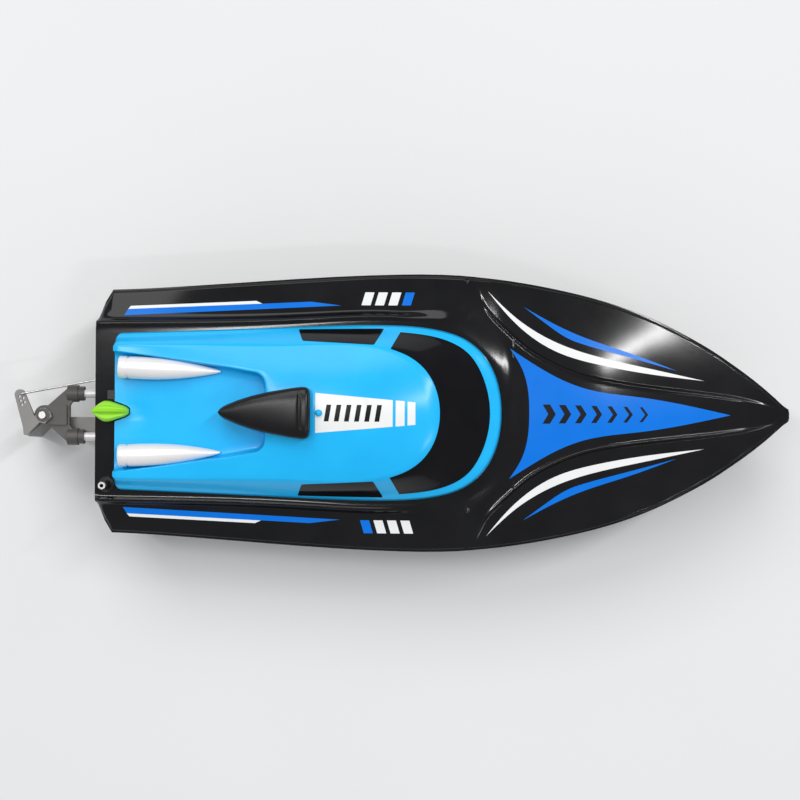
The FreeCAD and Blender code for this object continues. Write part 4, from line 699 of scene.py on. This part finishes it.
def build_windows(tree):
    """Side windows and windscreen as panes set on the canopy."""
    for sign, word in ((1, "left"), (-1, "right")):
        outline = [(x, y * sign) for x, y in rounded_outline(SIDE_WINDOW, 0.8)]
        sheet_on("window_" + word, outline, tree, "glazing", "canopy", 0.12, 2.0, ("side_window_" + word,),
                 depth=0.5)
    outer = round_nose([(x, y, 0) for x, y in WINDSCREEN_OUTER], 10)[:, :2]
    inner = round_nose([(x, y, 0) for x, y in WINDSCREEN_INNER], 10)[:, :2]
    rows = []
    shares = np.linspace(0, 1, 15)
    for share in shares:
        half = outer * (1 - share) + inner * share
        rows.append(np.vstack([half, half[-2::-1] * np.array([1, -1])]))
    points = []
    for row in rows:
        points += [tuple(drop(tree, x, y, 0.12)) for x, y in row]
    size = len(rows[0])
    faces = grid_faces(len(rows), size)
    loop = list(range(size)) + [r * size + size - 1 for r in range(1, len(rows))]
    loop += [(len(rows) - 1) * size + c for c in range(size - 2, -1, -1)]
    loop += [r * size for r in range(len(rows) - 2, 0, -1)]
    lower = {}
    for i in loop:
        x, y = points[i][:2]
        lower[i] = len(points)
        points.append(tuple(drop(tree, x, y, -0.4)))
    for one, two in zip(loop, loop[1:] + loop[:1]):
        faces.append((one, two, lower[two], lower[one]))
    pane = piece("windscreen_pane", points, faces, "glazing", "canopy", ("windscreen",))
    sharp(pane, 40)


def rounded_outline(corners, radius, steps=4):
    """A closed outline with small round corners."""
    out = []
    corners = [np.array(c, float) for c in corners]
    for i, corner in enumerate(corners):
        back = corners[i - 1] - corner
        ahead = corners[(i + 1) % len(corners)] - corner
        first = corner + back * min(0.45, radius / np.linalg.norm(back))
        last = corner + ahead * min(0.45, radius / np.linalg.norm(ahead))
        for k in range(steps + 1):
            t = k / steps
            out.append(tuple(first * (1 - t) ** 2 + corner * 2 * t * (1 - t) + last * t ** 2))
    return out


# ---------------------------------------------------------------- scoop, knob and exhausts

# Scoop from its tail forward: (distance from the tail, half width).
SCOOP_PLAN = ((0.0, 0.8), (0.6, 1.7), (2.5, 3.0), (8.4, 5.4), (15.0, 7.5), (22.4, 9.2), (32.0, 10.9),
              (37.0, 11.5), (38.8, 11.4), (39.8, 10.9), (40.4, 10.0), (40.6, 9.0))
SCOOP_TAIL = -100.6
SCOOP_TOP = 88.0
EXHAUST_PROFILE = (
    (0.0, 0.18), (0.74, 0.155), (0.80, 0.0), (0.96, 0.0), (1.0, 0.011), (0.99, 0.073), (0.9, 0.078),
    (0.9, 0.09), (0.98, 0.096), (1.0, 0.16), (1.0, 0.25), (0.975, 0.36), (0.91, 0.48), (0.8, 0.6),
    (0.64, 0.72), (0.46, 0.83), (0.27, 0.93), (0.08, 1.0), (0.0, 1.0),
)

EXHAUST_RADIUS = 5.1
EXHAUST_LENGTH = 45.8
EXHAUST_REAR = -147.0
EXHAUST_SIDE = 20.05
EXHAUST_AXIS = 67.4
EXHAUST_TOE = 2.2
SCOOP_LIP_AT = 36.2
MOUTH_PLAN = ((-75.0, 6.4), (-59.0, 8.6), (-59.0, -8.6), (-75.0, -6.4))
MOUTH_LEVELS = (80.2, 85.4)
KNOB_TOP = 66.9
KNOB_FOOT = 62.5
KNOB_BOSS = ((4.1, 57.05), (4.3, 57.3), (4.3, 62.6), (3.4, 62.9))


def build_scoop():
    """Wedge-shaped air scoop: rounded plan, sloping top with a raised lip, and an open mouth forward."""
    plan = np.asarray(SCOOP_PLAN)
    close = [35.2, 35.9, 36.5, 37.2, 40.1]
    fine = np.unique(np.concatenate([np.linspace(0, plan[-1, 0], 42), plan[:, 0], close]))
    rings = []
    for along in fine:
        half = float(np.interp(along, plan[:, 0], plan[:, 1]))
        share = along / plan[-1, 0]
        round_off = max(0.0, along - 39.2)
        top = SCOOP_TOP - 0.5 - 5.2 * (1 - share) ** 1.5 - 0.5 * round_off ** 2
        low = 66.5 + 6.8 * min(1.0, along / 20.0)
        lip = 0.5 * math.exp(-((along - SCOOP_LIP_AT) / 0.6) ** 2)
        upper = []
        for u in np.linspace(-1, 1, 21):
            arch = 1.1 * abs(u) ** 6 + 0.6 * u * u
            ridge = lip * float(1 - smooth(0.66, 0.84, abs(u)))
            upper.append((SCOOP_TAIL + along, u * (half - 0.35), top - arch + ridge))
        side = [(SCOOP_TAIL + along, half, top - 3.0), (SCOOP_TAIL + along, half, low)]
        rings.append(upper + side + [(px, -py, pz) for px, py, pz in reversed(side)])
    body = skinned("scoop", rings, "scoop_black", "canopy", ("air_scoop",), 48)
    cutter = piece("mouth_cutter", *prism(MOUTH_PLAN, *MOUTH_LEVELS), "scoop_black", "canopy")
    modifier(body, "BOOLEAN", "Mouth", object=cutter, operation="DIFFERENCE", solver="EXACT")
    settle(body)
    bpy.data.objects.remove(cutter)
    sharp(body, 48)


def build_knob():
    """Lock knob with a long middle ridge between two hollows, on a round boss."""
    outline = np.asarray(KNOB_OUTLINE) * KNOB_WIDTH
    stations = np.unique(np.concatenate([outline[:, 0], np.linspace(outline[0, 0], outline[-1, 0], 34)]))
    rings = []
    for x in stations:
        half = float(table(outline, x))
        end = min(x - outline[0, 0], outline[-1, 0] - x)
        fade = float(smooth(-0.4, 2.4, end))
        upper = []
        for u in np.linspace(-1, 1, 25):
            rise = 1.7 * math.exp(-(u * half / 0.75) ** 2) + 0.5 * math.exp(-((abs(u) - 0.72) / 0.16) ** 2)
            top = KNOB_TOP - 1.3 * abs(u) ** 5 + rise * fade - 0.9 * (1 - fade)
            upper.append((KNOB_X + x, u * half, top))
        rings.append(upper + [(KNOB_X + x, half * 0.96, KNOB_FOOT), (KNOB_X + x, -half * 0.96, KNOB_FOOT)])
    skinned("knob_top", rings, "knob_green", "lock_knob", ("lock_knob",), 55)
    boss = []
    for radius, level in KNOB_BOSS:
        boss.append([(KNOB_X + radius * math.cos(a), radius * math.sin(a), level)
                     for a in np.linspace(0, 2 * math.pi, 40, endpoint=False)])
    skinned("knob_boss", boss, "knob_green", "lock_knob", (), 40)


def build_exhausts():
    """Two turned exhaust cones with an open rear, toed in."""
    profile = np.asarray(EXHAUST_PROFILE)
    for sign, word in ((1, "left"), (-1, "right")):
        toe = math.radians(-EXHAUST_TOE * sign)
        rings = []
        for across, along in profile:
            radius = max(across, 0.004) * EXHAUST_RADIUS
            length = along * EXHAUST_LENGTH
            ring = []
            for a in np.linspace(0, 2 * math.pi, 56, endpoint=False):
                side = radius * math.cos(a)
                ring.append((EXHAUST_REAR + length * math.cos(toe) - side * math.sin(toe),
                             EXHAUST_SIDE * sign + length * math.sin(toe) + side * math.cos(toe),
                             EXHAUST_AXIS + radius * math.sin(a)))
            rings.append(ring)
        skinned("exhaust_cone_" + word, rings, "silver", "canopy", ("exhaust_" + word,), 32)


# ---------------------------------------------------------------- markings

SIDE_BAR = ((-1.6, 49.6), (2.6, 49.6), (4.4, 55.6), (0.2, 55.6))
STRIPE_WHITE = ((-144.6, 48.6), (-86.6, 51.3), (-83.9, 50.05), (-145.8, 47.15))
STRIPE_BLUE = ((-145.8, 47.1), (-83.9, 50.0), (-61.3, 51.1), (-47.5, 49.4), (-147.5, 44.2))
ARROW_REAR = ((30.4, 30.0), (35.8, 21.2), (38.7, 11.4), (39.4, 0.0))
ARROW_SIDE = ((30.4, 30.0), (39.0, 24.4), (52.1, 16.8), (63.9, 12.1), (89.9, 8.0), (132.1, 0.0))
SWOOSH_WHITE = (((20.2, 56.4), (34.0, 43.6), (53.0, 32.4), (72.9, 26.0), (90.4, 22.1), (120.0, 15.7)),
                ((20.2, 56.4), (31.5, 43.2), (51.4, 28.9), (71.0, 22.9), (90.4, 19.3), (120.0, 15.7)))
SWOOSH_BLUE = (((36.8, 49.2), (49.0, 42.4), (62.3, 36.2), (84.6, 28.6), (107.3, 20.2)),
               ((36.8, 49.2), (47.0, 41.6), (58.5, 34.2), (64.0, 32.2), (84.1, 26.6), (107.3, 20.2)))


def between(outside, inside):
    """A closed outline from one smooth edge out and the other back."""
    there = through([(x, y, 0) for x, y in outside], 8)[:, :2]
    back = through([(x, y, 0) for x, y in inside], 8)[::-1, :2]
    return [tuple(p) for p in there] + [tuple(p) for p in back[1:-1]]


def build_markings(deck, roof):
    """Foil stripes, bow arrow, swooshes and roof panel, with plain bars where words would be."""
    swooshes = {"white": between(*SWOOSH_WHITE), "blue": between(*SWOOSH_BLUE)}
    stripes = {"white": STRIPE_WHITE, "blue": STRIPE_BLUE}
    for sign, word in ((1, "left"), (-1, "right")):
        for shade in ("white", "blue"):
            outline = [(x, y * sign) for x, y in stripes[shade]]
            sheet_on(f"side_stripe_{shade}_{word}", outline, deck, "decal_" + shade, "hull", 0.1, 1.2)
            outline = [(x, y * sign) for x, y in swooshes[shade]]
            sheet_on(f"bow_swoosh_{shade}_{word}", outline, deck, "decal_" + shade, "hull")
        for index in range(4):
            x = -36.5 + 6.2 * index
            bar = [(x + shift, across * sign) for shift, across in SIDE_BAR]
            shade = "blue" if index == (3 if sign > 0 else 0) else "white"
            sheet_on(f"side_bar_{index}_{word}", bar, deck, "decal_" + shade, "hull")
    rear = round_nose([(x, y, 0) for x, y in ARROW_REAR], 8)[:, :2]
    side = through([(x, y, 0) for x, y in ARROW_SIDE], 8)[:, :2]
    half = [tuple(p) for p in rear[::-1]] + [tuple(p) for p in side[1:]]
    arrow = half + [(x, -y) for x, y in half[-2:0:-1]]
    sheet_on("bow_arrow", arrow, deck, "decal_blue", "hull")
    for index in range(7):
        x = 45.5 + 7.4 * index
        reach = 4.4 - 0.16 * index
        thick = 3.4 - 0.34 * index
        chevron = [(x, reach), (x + thick, reach), (x + thick + 2.6, 0.0), (x + thick, -reach), (x, -reach),
                   (x + 2.6, 0.0)]
        sheet_on(f"arrow_chevron_{index}", chevron, deck, "hull_black", "hull", DECAL_LIFT * 2, look=INK)
    panel = [(-57.6, 8.9), (-23.2, 5.9), (-23.2, -5.9), (-57.6, -8.9)]
    sheet_on("roof_panel", panel, roof, "decal_white", "canopy")
    for index, (low, high) in enumerate(((-21.9, -17.9), (-16.6, -13.1))):
        reach = 5.8 - 0.5 * index
        bar = [(low, reach), (high, reach - 0.3), (high, -reach + 0.3), (low, -reach)]
        sheet_on(f"roof_bar_{index}", bar, roof, "decal_white", "canopy")
    for index in range(6):
        x = -52.2 + 4.5 * index
        tick = [(x - 0.4, 3.7), (x + 1.7, 3.7), (x + 0.5, -3.7), (x - 1.6, -3.7)]
        sheet_on(f"roof_tick_{index}", tick, roof, "scoop_black", "canopy", DECAL_LIFT * 2, look=INK)


# ---------------------------------------------------------------- scene
FLOOR_REACH = 3.0
WORLD_COLOUR = (0.955, 0.97, 0.985, 1)
WORLD_STRENGTH = 0.385
CAMERA_SPOT = (-0.020, 0.006, 0.752)
CAMERA_LENS = 68.1
CAMERA_ROLL = 0.4


def build_stage():
    """Pale floor, soft lights and the camera looking straight down."""
    scene = bpy.context.scene
    floor_mesh = bpy.data.meshes.new("floor")
    corners = [(x * FLOOR_REACH, y * FLOOR_REACH, 0) for x, y in ((-1, -1), (1, -1), (1, 1), (-1, 1))]
    floor_mesh.from_pydata(corners, [], [(0, 1, 2, 3)])
    floor = bpy.data.objects.new("floor", floor_mesh)
    floor.location.z = -0.0004
    pale = material("Pale floor", (0.83, 0.835, 0.84), 0.85, vary=0.015, bump=0.05, patch=3.0, specular=0.2)
    floor_mesh.materials.append(pale)
    scene.collection.objects.link(floor)

    world = bpy.data.worlds.new("Studio")
    scene.world = world
    world.use_nodes = True
    world.node_tree.nodes["Background"].inputs["Color"].default_value = WORLD_COLOUR
    world.node_tree.nodes["Background"].inputs["Strength"].default_value = WORLD_STRENGTH

    def area(name, spot, aim, size, power, colour=(1, 1, 1), roll=0.0):
        lamp = bpy.data.lights.new(name, "AREA")
        lamp.shape = "RECTANGLE"
        lamp.size, lamp.size_y = size
        lamp.energy = power
        lamp.color = colour
        made = bpy.data.objects.new(name, lamp)
        made.location = spot
        made.rotation_mode = "QUATERNION"
        facing = (Vector(aim) - Vector(spot)).to_track_quat("-Z", "Y")
        made.rotation_quaternion = facing @ Quaternion((0, 0, 1), math.radians(roll))
        scene.collection.objects.link(made)
        return made

    area("soft_port", (-0.5, 1.5, 1.9), (0, 0, 0), (1.6, 1.2), 18, (1.0, 0.99, 0.97))
    area("tube_fore", (0.75, 0.55, 1.9), (0.1, 0, 0), (0.05, 1.1), 12)
    area("tube_starboard", (0.78, -0.62, 1.9), (0.1, 0, 0), (0.03, 0.4), 2.5, roll=60)
    area("tube_aft", (-0.55, 0.25, 2.0), (-0.1, 0, 0), (0.05, 1.0), 8)

    lens = bpy.data.cameras.new("camera")
    lens.lens = CAMERA_LENS
    lens.sensor_width = 36
    lens.clip_start = 0.02
    camera = bpy.data.objects.new("camera", lens)
    camera.location = CAMERA_SPOT
    camera.rotation_euler = (0, 0, math.radians(CAMERA_ROLL))
    scene.collection.objects.link(camera)
    scene.camera = camera
    scene.view_settings.view_transform = "Standard"


def dress_frame():
    """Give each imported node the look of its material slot."""
    slots = frame["record"]["materials"]
    for name, made in frame["nodes"].items():
        for index, slot in enumerate(made.material_slots):
            known = slot.material.name if slot.material else ""
            match = [m["slot"] for m in slots if m["slot"] == known.split(".")[0]]
            if match:
                made.material_slots[index].material = LOOKS[match[0]]


build_stage()
dress_frame()
deck = build_deck()
canopy = build_canopy()
deck_surface = surface_of(deck)
canopy_surface = surface_of(canopy)
build_windows(canopy_surface)
build_scoop()
build_knob()
build_exhausts()
build_markings(deck_surface, canopy_surface)

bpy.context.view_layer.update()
import json
